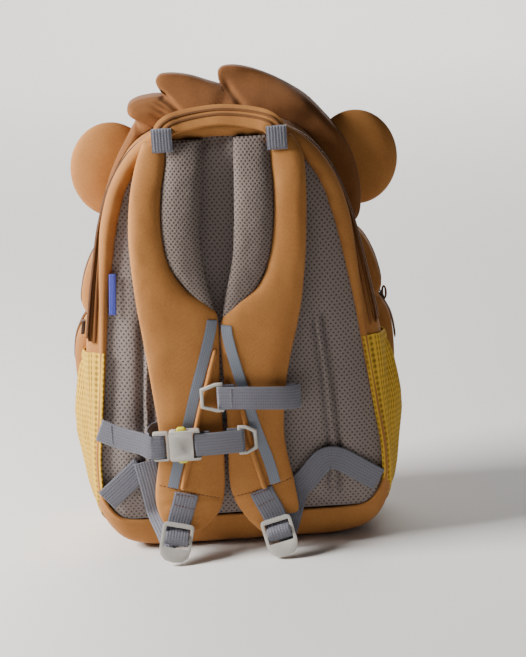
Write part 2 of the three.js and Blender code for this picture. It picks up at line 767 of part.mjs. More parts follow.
function lowerWebbing(side) {
  const { corner, fold, low } = cornerRows[side];
  const near = backSeam - panelProud - gap - webbingThick / 2;
  const place = ([x, height], out) => point(sideX(x), near - out, levelZ(height));
  const peak = place(fold, 1.0);
  const start = place(corner, -0.4);
  const end = atLock(side, 0, barWidth * 2 + slotHeight * 2, -lockThick / 2 - gap - webbingThick);
  const bend = place(low, 1.6);
  const first = [start, start.clone().lerp(peak, 0.5), peak];
  const second = [peak.clone().setY(peak.y - webbingThick * 0.8), bend, bend.clone().lerp(end, 0.5), end];
  const flat = (from, to) => to.clone().sub(from).cross(point(0, 1, 0)).setY(0).normalize();
  const up = ribbon(first, webbingWidth, webbingThick, flat(start, peak));
  const down = ribbon(second, webbingWidth, webbingThick, flat(second[0], bend));
  const around = [rimGrown, bodyGrown, panelGrown, strapForm(side)(gap)];
  return cut(join(up, down), ...around, ladderLock(side, gap), strapWebbing(side));
}

// Chest strap
const chestOut = 21; // back face of its rings and buckle, from the back seam
const upperZ = levelZ(0.386);
const lowerZ = levelZ(0.283);
const ringFront = backSeam - chestOut - ringThick;
const loopRadius = ringThick * Math.SQRT1_2 + gap + webbingThick / 2;

const ringBar = 2.2; // width of a ring's sides
const ringStraight = 5; // from its bar to where its sides draw in
const ringPlaces = {
  left: { clip: sideX(-0.235), bar: sideX(-0.085) },
  right: { clip: sideX(0.114), bar: sideX(-0.010) },
};

// A ring: its clip side towards the rail and its bar towards the webbing
function railRing(side) {
  const z = side === 'left' ? upperZ : lowerZ;
  const half = chestWidth / 2 + ringBar;
  const { clip, bar: barX } = ringPlaces[side];
  const toClip = Math.sign(clip - barX);
  const ring = (inset) => [
    [barX + toClip * inset * 1.1, -half + inset],
    [barX + toClip * ringStraight, -half + inset],
    [clip - toClip * inset, -half * 0.66 + inset * 0.75],
    [clip - toClip * inset, half * 0.66 - inset * 0.75],
    [barX + toClip * ringStraight, half - inset],
    [barX + toClip * inset * 1.1, half - inset],
  ];
  const flat = (shape, y) => shape.map(([x, dz]) => point(x, y, z + dz));
  const prism = (shape, y0, y1) => loft([flat(shape, y0), flat(shape, y1)]);
  const outer = prism(ring(0), ringFront, backSeam - chestOut);
  return cut(outer, prism(ring(ringBar), ringFront - 1, backSeam - chestOut + 1));
}

const ringBars = {
  left: ringPlaces.left.bar - ringBar / 2,
  right: ringPlaces.right.bar + ringBar / 2,
};
const ringMiddle = (backSeam - chestOut + ringFront) / 2;

// Upper webbing: sewn round its ring's bar, over the right strap, round its edge, back behind
// both straps and forward to the buckle. Shares: x, y out from the back seam (of chestOut), height.
const upperRows = [
  [0.060, 1.238, 0.384],
  [0.200, 1.219, 0.380],
  [0.320, 1.143, 0.376],
  [0.385, 0.981, 0.373],
  [0.408, 0.738, 0.371],
  [0.380, 0.457, 0.368],
  [0.300, 0.338, 0.363],
  [0.050, 0.310, 0.345],
  [-0.250, 0.310, 0.322],
  [-0.480, 0.324, 0.303],
  [-0.560, 0.419, 0.294],
  [-0.592, 0.643, 0.289],
  [-0.596, 0.881, 0.287],
  [-0.583, 1.048, 0.286],
];

const sewnEnd = 9; // webbing folded back behind a bar and sewn
const chestPlace = ([x, out, height]) => point(sideX(x), backSeam - out * chestOut, levelZ(height));

function upperWebbing() {
  const loop = turn(ringBars.left, ringMiddle, upperZ, loopRadius, 90, 270, 6);
  const back = [point(ringBars.left + sewnEnd, ringMiddle + loopRadius + 0.1, upperZ)];
  const rest = upperRows.map(chestPlace);
  return ribbon([...back, ...loop, ...rest], chestWidth, webbingThick, point(0, 0, 1));
}

// Buckle, closed: a hollow socket with a bar, a plug frame with two bars, and its two sprung arms
const socketLeft = sideX(-0.455);
const socketRight = socketLeft + buckleLength;
const plugLeft = socketLeft - plugLength;
const buckleBack = backSeam - chestOut;
const buckleFront = buckleBack - buckleThick;
const buckleMiddle = (buckleBack + buckleFront) / 2;
const cheek = 1.6;
const barSize = 2.4;
const barPlace = 2.0; // a bar's middle, from its end of the buckle
const plugBars = [plugLeft + 1.4, plugLeft + 4.9];
const windowOpen = 5.2;
const armReach = 2.0; // how far the arms' buttons stand out
const slotDeep = 2; // half the depth of the socket's slot
const armRoom = 12; // length of the socket's slot
const armRoot = 3;
const buttonStart = 5; // from the socket's mouth

// A block of the buckle between two places along it: half its depth and half its height
function block(x0, x1, deep, high) {
  return box(x0, x1, buckleMiddle - deep, buckleMiddle + deep, lowerZ - high, lowerZ + high);
}

const bar = (x) => block(x - barSize / 2, x + barSize / 2, barSize / 2, buckleHeight / 2 - 0.5);

function socket() {
  const half = buckleHeight / 2;
  const outer = plate(socketLeft, socketRight, lowerZ - half, lowerZ + half, buckleFront, buckleBack, 2);
  const cavity = block(socketLeft - 1, socketLeft + armRoom, slotDeep, half - cheek);
  const sides = block(socketLeft + buttonStart - 0.5, socketLeft + armRoom, slotDeep, half + 1);
  const window = block(socketRight - windowOpen, socketRight + 1, buckleThick, half - cheek);
  return join(cut(outer, cavity, sides, window), bar(socketRight - barPlace));
}

function plug() {
  const half = buckleHeight / 2 - 0.5;
  const right = socketLeft - gap;
  const outer = plate(plugLeft, right, lowerZ - half, lowerZ + half, buckleFront + 1, buckleBack - 1, 1.5);
  const window = block(plugLeft - 1, right - cheek, buckleThick, half - cheek);
  return join(cut(outer, window), ...plugBars.map(bar));
}

function buckleArms() {
  const reach = buckleHeight / 2 + armReach;
  const thick = slotDeep - gap;
  const inner = buckleHeight / 2 - cheek - gap;
  const end = socketLeft + armRoom - 2 * gap;
  const start = socketLeft + buttonStart;
  const [front, back] = [buckleMiddle - thick, buckleMiddle + thick];
  const root = block(socketLeft, socketLeft + armRoot, thick, inner);
  const arms = [-1, 1].map((side) => {
    const [low, high] = [side * (inner - armRoot), side * inner].sort((a, b) => a - b);
    const stem = box(socketLeft + 1, end, front, back, lowerZ + low, lowerZ + high);
    const [from, to] = [side * (inner - 2), side * reach].sort((a, b) => a - b);
    return join(stem, plate(start, end, lowerZ + from, lowerZ + to, front, back, 1.8));
  });
  return join(root, ...arms);
}

// Lower webbing: a loop between the socket's bar and the ring's bar
function lowerChest() {
  const from = socketRight - barPlace;
  const to = ringBars.right;
  const radius = barSize / 2 + gap + webbingThick / 2 + 0.3;
  const path = [
    point(from + sewnEnd, buckleMiddle + radius + 0.1, lowerZ),
    ...turn(from, buckleMiddle, lowerZ, radius, 90, 270, 6),
    point((from + to) / 2, (buckleMiddle + ringMiddle) / 2 - radius - 0.6, lowerZ),
    ...turn(to, ringMiddle, lowerZ, loopRadius + 0.1, -90, 90, 6),
    point(to - sewnEnd, ringMiddle + loopRadius + 0.2, lowerZ),
  ];
  return ribbon(path, chestWidth, webbingThick, point(0, 0, 1));
}

// The adjusting end: through the plug frame and away to the left, its end sewn double.
// Shares: x, y out from the back seam (of chestOut), height.
const tailRows = [
  [-0.640, 1.167, 0.293],
  [-0.720, 1.029, 0.299],
  [-0.810, 0.895, 0.309],
  [-0.905, 0.781, 0.323],
];
const hemLength = 9;

function tail() {
  const [outer, inner] = plugBars;
  const radius = barSize * Math.SQRT1_2 + gap + webbingThick / 2;
  const path = [
    point(inner - 2.6, buckleMiddle + radius, lowerZ),
    ...turn(inner, buckleMiddle, lowerZ, radius, 90, -90, 5),
    point(outer, buckleMiddle - radius, lowerZ),
    point(plugLeft - 2, buckleMiddle - radius + 0.3, lowerZ + 0.2),
    ...tailRows.map(chestPlace),
  ];
  const band = ribbon(path, chestWidth, webbingThick, point(0, 0, 1));
  const last = path.at(-1);
  const back = last.clone().sub(path.at(-2)).setLength(hemLength);
  const fold = point(0, webbingThick * 0.8, 0);
  const turned = [last.clone().sub(back).add(fold), last.clone().add(fold)];
  return join(band, ribbon(turned, chestWidth, webbingThick, point(0, 0, 1)));
}

// Label tab, sewn in at the panel's left edge
const labelRows = [[-0.742, 0.672], [-0.762, 0.578]];
const labelOut = 4.65;

function label() {
  const path = labelRows.map(([x, height]) => point(sideX(x), backSeam - labelOut, levelZ(height)));
  const centre = path[0].clone().add(path[1]).divideScalar(2);
  const along = path[1].clone().sub(path[0]).setLength(labelLength / 2);
  const ends = [centre.clone().sub(along), centre.clone().add(along)];
  return cut(ribbon(ends, labelWidth, 0.9, point(1, 0, 0)), rimGrown, panelGrown);
}

// Zip sliders and the front zip's cord loop
const sliderSize = [5.5, 9]; // along Y and Z
const sliderOut = 2.6;
const sliderRise = 10; // above the main zip's end
const pocketSliderOut = 1;
const pocketNotch = 0.52; // share of the height between the pocket's lobes

function slider(form, thickness, side, y, z, out) {
  const [wide, long] = sliderSize;
  const [x0, x1] = [0, side * bodyWidth].sort((a, b) => a - b);
  const block = box(x0, x1, y - wide / 2, y + wide / 2, z - long / 2, z + long / 2);
  const seat = gap * 2 + thickness;
  return cut(block.intersect(form(seat + out)), form(seat));
}

const mainZipY = zipBack + zipWidth / 2;
const mainSlider = slider(bodyForm, zipThick, -1, mainZipY, zipLow + sliderRise, sliderOut);
const frontZipY = (frontZipBack + frontZipEnd) / 2;
const notchZ = levelZ(pocketNotch);
const frontSlider = slider(pocketForm, frontZipThick, 1, frontZipY, notchZ, pocketSliderOut);

const pullLong = 10; // the loop's height
const pullWide = 5;
const pullCord = 0.8;

function zipPull() {
  const half = pullLong / 2 - pullCord;
  const ring = new THREE.TorusGeometry(half, pullCord, 6, 16);
  ring.scale((pullWide / 2 - pullCord) / half, 1, 1).rotateX(Math.PI / 2);
  const z = notchZ - pullCord * 2;
  const level = box(0, bodyWidth, -bodyDepth, bodyDepth, z - pullCord, z + pullCord);
  const seat = frontSlider.intersect(level).boundingBox().max[0];
  return solidOf(ring.translate(seat + pullWide / 2 + gap * 2, frontZipY, z));
}

// Materials: colour, roughness, metalness
const finishes = {
  canvas: [0xa6773f, 0.85],
  head: [0x96673a, 0.85],
  mesh: [0x6f635d, 0.95],
  stretch: [0xcdb45c, 0.8],
  webbing: [0x77767c, 0.8],
  plastic: [0xb3aea6, 0.45],
  arm: [0xd9cf3a, 0.45],
  stripe: [0x7d848f, 0.5],
  label: [0x3a43ad, 0.7],
  face: [0xe0c08c, 0.85],
  dark: [0x2f2018, 0.8],
  zip: [0x6a4522, 0.6],
};

const backpack = new THREE.Group();

function add(name, solid, finish) {
  const [color, roughness] = finishes[finish];
  const { vertProperties, triVerts } = solid.getMesh();
  const geometry = new THREE.BufferGeometry();
  geometry.setAttribute('position', new THREE.BufferAttribute(Float32Array.from(vertProperties), 3));
  geometry.setIndex(Array.from(triVerts));
  geometry.computeVertexNormals();
  const material = new THREE.MeshStandardMaterial({ color, roughness, metalness: 0, flatShading: true });
  const mesh = new THREE.Mesh(geometry, material);
  mesh.name = name;
  backpack.add(mesh);
}

add('main_shell', shell, 'canvas');
add('back_panel', panel, 'mesh');
add('rim_roll', rim, 'canvas');
add('main_zip', mainZip, 'zip');
add('main_zip_slider', mainSlider, 'plastic');
add('mane_crest', head, 'head');
add('front_pocket', pocket, 'head');
add('pocket_zip', pocketZip, 'zip');
add('pocket_zip_slider', frontSlider, 'zip');
add('pocket_zip_pull', zipPull(), 'zip');
add('muzzle', muzzle, 'face');
add('nose', nose, 'dark');
add('grab_handle', handle, 'canvas');
for (const side of ['left', 'right']) {
  const sign = side === 'left' ? -1 : 1;
  add(`ear_${side}`, ear(side), 'canvas');
  add(`eye_${side}`, eye(sign), 'dark');
  add(`side_pocket_${side}`, sidePocket(sign), 'stretch');
  add(`handle_tab_${side}`, handleTab(side), 'webbing');
  add(`strap_${side}`, strap(side), 'canvas');
  add(`strap_lining_${side}`, lining(side), 'mesh');
  add(`reflective_stripe_${side}`, stripe(side), 'stripe');
  add(`strap_rail_${side}`, rail(side), 'canvas');
  add(`strap_webbing_${side}`, strapWebbing(side), 'webbing');
  add(`ladder_lock_${side}`, ladderLock(side), 'plastic');
  add(`lower_webbing_${side}`, lowerWebbing(side), 'webbing');
  add(`rail_ring_${side}`, railRing(side), 'plastic');
}
add('chest_webbing_upper', upperWebbing(), 'webbing');
add('chest_webbing_lower', lowerChest(), 'webbing');
add('chest_webbing_tail', tail(), 'webbing');
add('buckle_socket', socket(), 'plastic');
add('buckle_plug', plug(), 'plastic');
add('buckle_arms', buckleArms(), 'arm');
add('label_tab', label(), 'label');

export default backpack;
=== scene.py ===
import math
import bpy
import bmesh
from mathutils import Matrix, Vector, noise
from mathutils.bvhtree import BVHTree


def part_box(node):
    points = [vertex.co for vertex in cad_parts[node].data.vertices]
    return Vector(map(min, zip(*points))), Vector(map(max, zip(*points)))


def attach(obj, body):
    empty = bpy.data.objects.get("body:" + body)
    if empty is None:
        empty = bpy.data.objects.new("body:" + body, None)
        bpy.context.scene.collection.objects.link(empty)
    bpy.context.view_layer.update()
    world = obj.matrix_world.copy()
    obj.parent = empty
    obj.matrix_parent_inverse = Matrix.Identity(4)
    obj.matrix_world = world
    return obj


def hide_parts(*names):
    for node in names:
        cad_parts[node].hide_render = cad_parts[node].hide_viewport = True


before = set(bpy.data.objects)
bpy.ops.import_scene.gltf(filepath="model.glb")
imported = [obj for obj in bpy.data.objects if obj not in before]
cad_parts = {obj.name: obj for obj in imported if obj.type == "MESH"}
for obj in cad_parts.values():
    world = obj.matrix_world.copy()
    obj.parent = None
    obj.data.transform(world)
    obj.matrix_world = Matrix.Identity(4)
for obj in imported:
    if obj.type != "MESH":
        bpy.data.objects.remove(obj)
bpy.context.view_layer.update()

mm = 0.001
sides = {"left": -1, "right": 1}


# Camera: looks down a little at the harness side, and is slightly rolled

camera = {
    "target": (19.8, -45, 147),  # mm, at the middle of the picture
    "distance": 1500,
    "elevation": 14.6,
    "roll": -3.9,
    "lens": 158,
}

view = bpy.data.cameras.new("studioCamera")
view.sensor_fit = "HORIZONTAL"
view.sensor_width = 36
view.lens = camera["lens"]
eye = bpy.data.objects.new("studioCamera", view)
bpy.context.scene.collection.objects.link(eye)
tilt = math.radians(camera["elevation"])
target = Vector(camera["target"]) * mm
eye.location = target + Vector((0, -math.cos(tilt), math.sin(tilt))) * camera["distance"] * mm
eye.rotation_euler = (
    Matrix.Rotation(math.pi / 2 - tilt, 3, "X") @ Matrix.Rotation(math.radians(camera["roll"]), 3, "Z")
).to_euler()
bpy.context.scene.camera = eye
print("camera placed")


# Small helpers

def linear(code):
    channels = [int(code[i:i + 2], 16) / 255 for i in (1, 3, 5)]
    return [c / 12.92 if c <= 0.04045 else ((c + 0.055) / 1.055) ** 2.4 for c in channels] + [1.0]


def lerp(a, b, share):
    return a + (b - a) * share


def ease(low, high, value):
    share = min(max((value - low) / (high - low), 0), 1)
    return share * share * (3 - 2 * share)


def bell(distance, width):
    return math.exp(-(distance / width) ** 2)


def loopAt(points, share):  # smooth closed ring through places in X and Z
    count = len(points)
    spot = share * count
    first = math.floor(spot)
    w = spot - first
    p = [points[(first + k) % count] for k in (-1, 0, 1, 2)]
    d = [max(math.dist(p[k], p[k + 1]) ** 0.5, 1e-3) for k in range(3)]

    def bend(k):
        a, b, c, e = (q[k] for q in p)
        m = ((b - a) / d[0] - (c - a) / (d[0] + d[1]) + (c - b) / d[1]) * d[1]
        n = ((c - b) / d[1] - (e - b) / (d[1] + d[2]) + (e - c) / d[2]) * d[1]
        return b + m * w + (3 * (c - b) - 2 * m - n) * w * w + (2 * (b - c) + m + n) * w ** 3
    return bend(0), bend(1)


def rowsAt(rows, share):  # smooth values between the rows of a table
    last = len(rows) - 1
    spot = min(max(share, 0), 1) * last
    first = min(int(spot), last - 1)
    w = spot - first
    a, b, c, d = (rows[min(max(first + k, 0), last)] for k in (-1, 0, 1, 2))
    return [
        0.5 * (2 * q + (r - p) * w + (2 * p - 5 * q + 4 * r - s) * w * w + (3 * q - p - 3 * r + s) * w ** 3)
        for p, q, r, s in zip(a, b, c, d)
    ]


def between(table, value):  # straight lines between the rows of a table
    for (a, x), (b, y) in zip(table, table[1:]):
        if a <= value <= b and b > a:
            return lerp(x, y, (value - a) / (b - a))
    return 0.0


def ringOf(points, steps):
    return [Vector(loopAt(points, i / steps)) for i in range(steps)]


def lengthOf(ring):
    return sum((ring[i] - ring[i - 1]).length for i in range(len(ring)))


def outward(ring):
    normals = []
    for i in range(len(ring)):
        along = ring[(i + 1) % len(ring)] - ring[i - 1]
        normals.append(Vector((along.y, -along.x)).normalized())
    return normals


def newPiece(name, shape):
    mesh = bpy.data.meshes.new(name)
    shape.to_mesh(mesh)
    shape.free()
    piece = bpy.data.objects.new(name, mesh)
    bpy.context.scene.collection.objects.link(piece)
    return piece


def twinOf(piece, name):
    twin = bpy.data.objects.new(name, piece.data.copy())
    bpy.context.scene.collection.objects.link(twin)
    return twin


def gridShape(columns, rows, place, surface=None):
    # a grid is bent into the form: place gives millimetres, surface gives the cloth's own millimetres
    shape = bmesh.new()
    bmesh.ops.create_grid(shape, x_segments=columns, y_segments=rows, size=0.5)
    layer = shape.loops.layers.uv.new("cloth")
    shares = {vertex: (vertex.co.x + 0.5, vertex.co.y + 0.5) for vertex in shape.verts}
    if surface:
        for face in shape.faces:
            for corner in face.loops:
                corner[layer].uv = surface(*shares[corner.vert])
    for vertex, (u, v) in shares.items():
        vertex.co = Vector(place(u, v)) * mm
    bmesh.ops.remove_doubles(shape, verts=shape.verts, dist=5e-6)
    bmesh.ops.recalc_face_normals(shape, faces=shape.faces)
    return shape


def closeEnds(shape):
    bmesh.ops.holes_fill(shape, edges=[e for e in shape.edges if e.is_boundary], sides=0)
    bmesh.ops.recalc_face_normals(shape, faces=shape.faces)
    return shape


def faceTowards(shape, way):  # an open sheet is turned so that its faces look the given way
    if sum(face.normal.dot(way) * face.calc_area() for face in shape.faces) < 0:
        bmesh.ops.reverse_faces(shape, faces=shape.faces)
    return shape


def gridPiece(name, columns, rows, place, surface=None):
    return newPiece(name, gridShape(columns, rows, place, surface))


def apply(piece):
    bpy.context.view_layer.objects.active = piece
    for modifier in list(piece.modifiers):
        with bpy.context.temp_override(object=piece, active_object=piece):
            bpy.ops.object.modifier_apply(modifier=modifier.name)


def carve(piece, *cutters):
    for cutter in cutters:
        modifier = piece.modifiers.new("carve", "BOOLEAN")
        modifier.operation = "DIFFERENCE"
        modifier.solver = "MANIFOLD"
        modifier.object = cutter
        apply(piece)


def thicken(piece, thickness):
    wall = piece.modifiers.new("wall", "SOLIDIFY")
    wall.thickness = thickness * mm
    wall.offset = -1.0
    wall.use_even_offset = True
    apply(piece)


def crisp(piece, angle):  # edges sharper than the angle keep their crease
    shape = bmesh.new()
    shape.from_mesh(piece.data)
    for face in shape.faces:
        face.smooth = True
    for edge in shape.edges:
        edge.smooth = not (len(edge.link_faces) == 2 and edge.calc_face_angle(0) > math.radians(angle))
    shape.to_mesh(piece.data)
    shape.free()


def dress(piece, finish, nodes=(), angle=55):
    material, slot = finish
    piece.data.materials.clear()
    piece.data.materials.append(material)
    crisp(piece, angle)
    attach(piece, "root")
    if nodes:
        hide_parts(*nodes)
    return piece


def treeOf(piece):
    shape = bmesh.new()
    shape.from_mesh(piece.data)
    tree = BVHTree.FromBMesh(shape)
    shape.free()
    return tree


def layOn(tree, x, z, side=-1, proud=0.0, fallback=-60):  # a place on a piece's face, in mm
    spot, normal, _, _ = tree.ray_cast(Vector((x * mm, side * 0.3, z * mm)), Vector((0, -side, 0)))
    if spot is None:
        return Vector((x, fallback, z)), Vector((0, side, 0))
    return spot / mm + normal * proud, normal


# Materials

def addNode(tree, kind, values=None, links=None, **settings):
    node = tree.nodes.new(kind)
    for key, value in settings.items():
        setattr(node, key, value)
    for key, value in (values or {}).items():
        node.inputs[key].default_value = value
    for key, socket in (links or {}).items():
        tree.links.new(socket, node.inputs[key])
    return node


def startMaterial(name, **surface):
    material = bpy.data.materials.new(name)
    material.use_nodes = True
    tree = material.node_tree
    for key, value in surface.items():
        tree.nodes["Principled BSDF"].inputs[key.replace("_", " ")].default_value = value
    return material, tree


def finishMaterial(material, source, dark, light, reach, height, strength, depth, shadedHoles=None):
    # the colour runs from dark to light over the source's reach; the holes' mask gets a dark colour, painted shade in
    # the holes
    tree = material.node_tree
    shader = tree.nodes["Principled BSDF"]
    ramp = addNode(tree, "ShaderNodeValToRGB", {}, {0: source})
    for stop, code, place in zip(ramp.color_ramp.elements, (dark, light), reach):
        stop.color = linear(code)
        stop.position = place
    colour = ramp.outputs[0]
    if shadedHoles:
        mix = addNode(tree, "ShaderNodeMix", {}, {0: shadedHoles[0], 7: colour}, data_type="RGBA")
        mix.inputs[6].default_value = linear(shadedHoles[1])
        colour = mix.outputs[2]
    bump = addNode(tree, "ShaderNodeBump", {"Strength": strength, "Distance": depth * mm}, {"Height": height})
    tree.links.new(colour, shader.inputs["Base Color"])
    tree.links.new(bump.outputs[0], shader.inputs["Normal"])
    return material


def wovenPolyester(name, light, dark, pitch=0.9):
    # dyed polyester twill, printed nowhere: matt, with a soft nap that catches grazing light.
    # the real yarns stand 0.4 mm apart; they are drawn at 0.9 mm so that they show
    material, tree = startMaterial(name, Roughness=0.88, IOR=1.45, Sheen_Weight=0.06, Sheen_Roughness=0.5)
    cloth = addNode(tree, "ShaderNodeUVMap", uv_map="cloth")
    turned = addNode(tree, "ShaderNodeMapping", {"Rotation": (0, 0, math.radians(45))},
                     {"Vector": cloth.outputs[0]})
    warp = addNode(tree, "ShaderNodeTexWave", {"Scale": 0.314 / pitch, "Distortion": 0.6, "Detail": 1.0},
                   {"Vector": turned.outputs[0]}, bands_direction="X")
    weft = addNode(tree, "ShaderNodeTexWave", {"Scale": 0.314 / (pitch * 1.6), "Distortion": 0.6, "Detail": 1.0},
                   {"Vector": turned.outputs[0]}, bands_direction="Y")
    yarns = addNode(tree, "ShaderNodeMath", {}, {0: warp.outputs["Fac"], 1: weft.outputs["Fac"]},
                    operation="MULTIPLY")
    place = addNode(tree, "ShaderNodeTexCoord").outputs["Object"]
    broad = addNode(tree, "ShaderNodeTexNoise", {"Scale": 26.0, "Detail": 3.0}, {"Vector": place})
    fine = addNode(tree, "ShaderNodeTexNoise", {"Scale": 900.0, "Detail": 2.0}, {"Vector": place})
    faint = addNode(tree, "ShaderNodeMath", {1: 0.08}, {0: yarns.outputs[0]}, operation="MULTIPLY")
    tone = addNode(tree, "ShaderNodeMath", {1: 0.6}, {0: broad.outputs["Fac"], 2: faint.outputs[0]},
                   operation="MULTIPLY_ADD")
    speck = addNode(tree, "ShaderNodeMath", {1: 0.35}, {0: fine.outputs["Fac"], 2: tone.outputs[0]},
                    operation="MULTIPLY_ADD")
    return finishMaterial(material, speck.outputs[0], dark, light, (0.3, 0.75), fine.outputs["Fac"], 0.25, 0.2)


def spacerMesh(name, light, dark, holeShade, pitch=3.3, reach=0.5):
    # knitted spacer mesh over foam: grey yarn with staggered round holes 3.3 mm apart, dull and dry; the holes get a
    # dark colour, painted shade in the hollows under the top knit
    material, tree = startMaterial(name, Roughness=0.92, IOR=1.5, Sheen_Weight=0.05, Sheen_Roughness=0.6)
    place = addNode(tree, "ShaderNodeTexCoord")
    flat = addNode(tree, "ShaderNodeVectorMath", {1: (1000, 0, 1000)}, {0: place.outputs["Object"]},
                   operation="MULTIPLY")
    cell = (pitch, 9.0, pitch * 1.25)
    sway = addNode(tree, "ShaderNodeTexNoise", {"Scale": 0.05, "Detail": 1.0}, {"Vector": flat.outputs[0]})
    bent = addNode(tree, "ShaderNodeVectorMath", {1: (1.6, 1.6, 1.6)},
                   {0: sway.outputs["Color"], 2: flat.outputs[0]}, operation="MULTIPLY_ADD")
    moved = addNode(tree, "ShaderNodeVectorMath", {1: (pitch / 2, 0, pitch * 0.625)}, {0: bent.outputs[0]},
                    operation="ADD")
    reaches = []
    for source in (bent, moved):
        wrapped = addNode(tree, "ShaderNodeVectorMath",
                          {1: tuple(c / 2 for c in cell), 2: tuple(-c / 2 for c in cell)},
                          {0: source.outputs[0]}, operation="WRAP")
        level = addNode(tree, "ShaderNodeVectorMath", {1: (1, 0, 1)}, {0: wrapped.outputs[0]},
                        operation="MULTIPLY")
        length = addNode(tree, "ShaderNodeVectorMath", {}, {0: level.outputs[0]}, operation="LENGTH")
        reaches.append(length.outputs["Value"])
    nearest = addNode(tree, "ShaderNodeMath", {}, dict(enumerate(reaches)), operation="MINIMUM")
    rim = addNode(tree, "ShaderNodeMapRange", {"From Min": reach * 0.7, "From Max": reach * 1.7},
                  {"Value": nearest.outputs[0]}, interpolation_type="SMOOTHSTEP")
    yarn = addNode(tree, "ShaderNodeTexNoise", {"Scale": 1.1, "Detail": 2.0}, {"Vector": flat.outputs[0]})
    return finishMaterial(material, yarn.outputs["Fac"], dark, light, (0.3, 0.7), rim.outputs[0], 0.45, 0.6,
                          (rim.outputs[0], holeShade))


def knittedStretch(name, light, dark, rib=2.2):
    # ribbed stretch knit: upright ribs crossed by faint courses, drawn at 2.2 mm; the ribs and courses run the colour
    # from a shaded to a lit yellow, painted shade in their grooves, over a broad random tone
    material, tree = startMaterial(name, Roughness=0.88, IOR=1.4, Sheen_Weight=0.02, Sheen_Roughness=0.5)
    cloth = addNode(tree, "ShaderNodeUVMap", uv_map="cloth").outputs[0]
    ribs = addNode(tree, "ShaderNodeTexWave", {"Scale": 0.314 / rib, "Distortion": 0.3}, {"Vector": cloth},
                   bands_direction="X")
    courses = addNode(tree, "ShaderNodeTexWave", {"Scale": 0.314 / (rib * 1.7), "Distortion": 0.3},
                      {"Vector": cloth}, bands_direction="Y")
    weave = addNode(tree, "ShaderNodeMath", {1: 0.45}, {0: courses.outputs["Fac"], 2: ribs.outputs["Fac"]},
                    operation="MULTIPLY_ADD")
    broad = addNode(tree, "ShaderNodeTexNoise", {"Scale": 0.04, "Detail": 2.0}, {"Vector": cloth})
    tone = addNode(tree, "ShaderNodeMath", {1: 0.6}, {0: broad.outputs["Fac"], 2: weave.outputs[0]},
                   operation="MULTIPLY_ADD")
    return finishMaterial(material, tone.outputs[0], dark, light, (0.45, 1.0), weave.outputs[0], 0.7, 0.5)


def wovenWebbing(name, light, dark, ridge=1.9):
    # polyester webbing: plaited ridges along it, broken by the weft into a zigzag, with a faint shine
    material, tree = startMaterial(name, Roughness=0.68, IOR=1.5, Sheen_Weight=0.2, Sheen_Roughness=0.4)
    cloth = addNode(tree, "ShaderNodeUVMap", uv_map="cloth")
    parts = addNode(tree, "ShaderNodeSeparateXYZ", {}, {0: cloth.outputs[0]})
    fold = addNode(tree, "ShaderNodeMath", {1: ridge}, {0: parts.outputs[0]}, operation="PINGPONG")
    slant = addNode(tree, "ShaderNodeMath", {1: 1.1}, {0: fold.outputs[0], 2: parts.outputs[1]},
                    operation="MULTIPLY_ADD")
    joined = addNode(tree, "ShaderNodeCombineXYZ", {}, {0: parts.outputs[0], 1: slant.outputs[0]}).outputs[0]
    weft = addNode(tree, "ShaderNodeTexWave", {"Scale": 0.314 / 1.5, "Distortion": 0.4}, {"Vector": joined},
                   bands_direction="Y")
    ridges = addNode(tree, "ShaderNodeTexWave", {"Scale": 0.314 / ridge}, {"Vector": joined},
                     bands_direction="X")
    weave = addNode(tree, "ShaderNodeMath", {1: 0.7}, {0: weft.outputs["Fac"], 2: ridges.outputs["Fac"]},
                    operation="MULTIPLY_ADD")
    speck = addNode(tree, "ShaderNodeTexNoise", {"Scale": 0.9, "Detail": 2.0}, {"Vector": joined})
    tone = addNode(tree, "ShaderNodeMath", {}, {0: weave.outputs[0], 1: speck.outputs["Fac"]}, operation="ADD")
    return finishMaterial(material, tone.outputs[0], dark, light, (0.45, 1.0), weave.outputs[0], 0.5, 0.35)


def mouldedAcetal(name, light, dark, grain=0.45):
    # injection-moulded acetal: satin, with a fine spark-eroded grain and slightly rubbed highlights
    material, tree = startMaterial(name, Roughness=0.42, IOR=1.48)
    place = addNode(tree, "ShaderNodeTexCoord").outputs["Object"]
    fine = addNode(tree, "ShaderNodeTexNoise", {"Scale": 1000 / grain / 3, "Detail": 2.0}, {"Vector": place})
    broad = addNode(tree, "ShaderNodeTexNoise", {"Scale": 90.0, "Detail": 3.0}, {"Vector": place})
    return finishMaterial(material, broad.outputs["Fac"], dark, light, (0.3, 0.7), fine.outputs["Fac"], 0.12, 0.1)


def beadedTape(name, light, dark):
    # retroreflective tape: glass beads give a cool grey with a dull metal glint, in small sealed cells
    material, tree = startMaterial(name, Roughness=0.42, IOR=1.5, Metallic=0.25)
    cloth = addNode(tree, "ShaderNodeUVMap", uv_map="cloth")
    cells = addNode(tree, "ShaderNodeTexVoronoi", {"Scale": 0.8, "Randomness": 0.2}, {"Vector": cloth.outputs[0]},
                    feature="DISTANCE_TO_EDGE").outputs["Distance"]
    return finishMaterial(material, cells, dark, light, (0.0, 0.22), cells, 0.3, 0.15)


def coilZip(name, light, dark, tooth=1.6):
    # nylon coil on a woven tape: small even teeth, drawn at 1.6 mm, with a low shine
    material, tree = startMaterial(name, Roughness=0.5, IOR=1.5)
    cloth = addNode(tree, "ShaderNodeUVMap", uv_map="cloth")
    teeth = addNode(tree, "ShaderNodeTexWave", {"Scale": 0.314 / tooth}, {"Vector": cloth.outputs[0]},
                    bands_direction="Y").outputs["Fac"]
    return finishMaterial(material, teeth, dark, light, (0, 1), teeth, 0.6, 0.5)


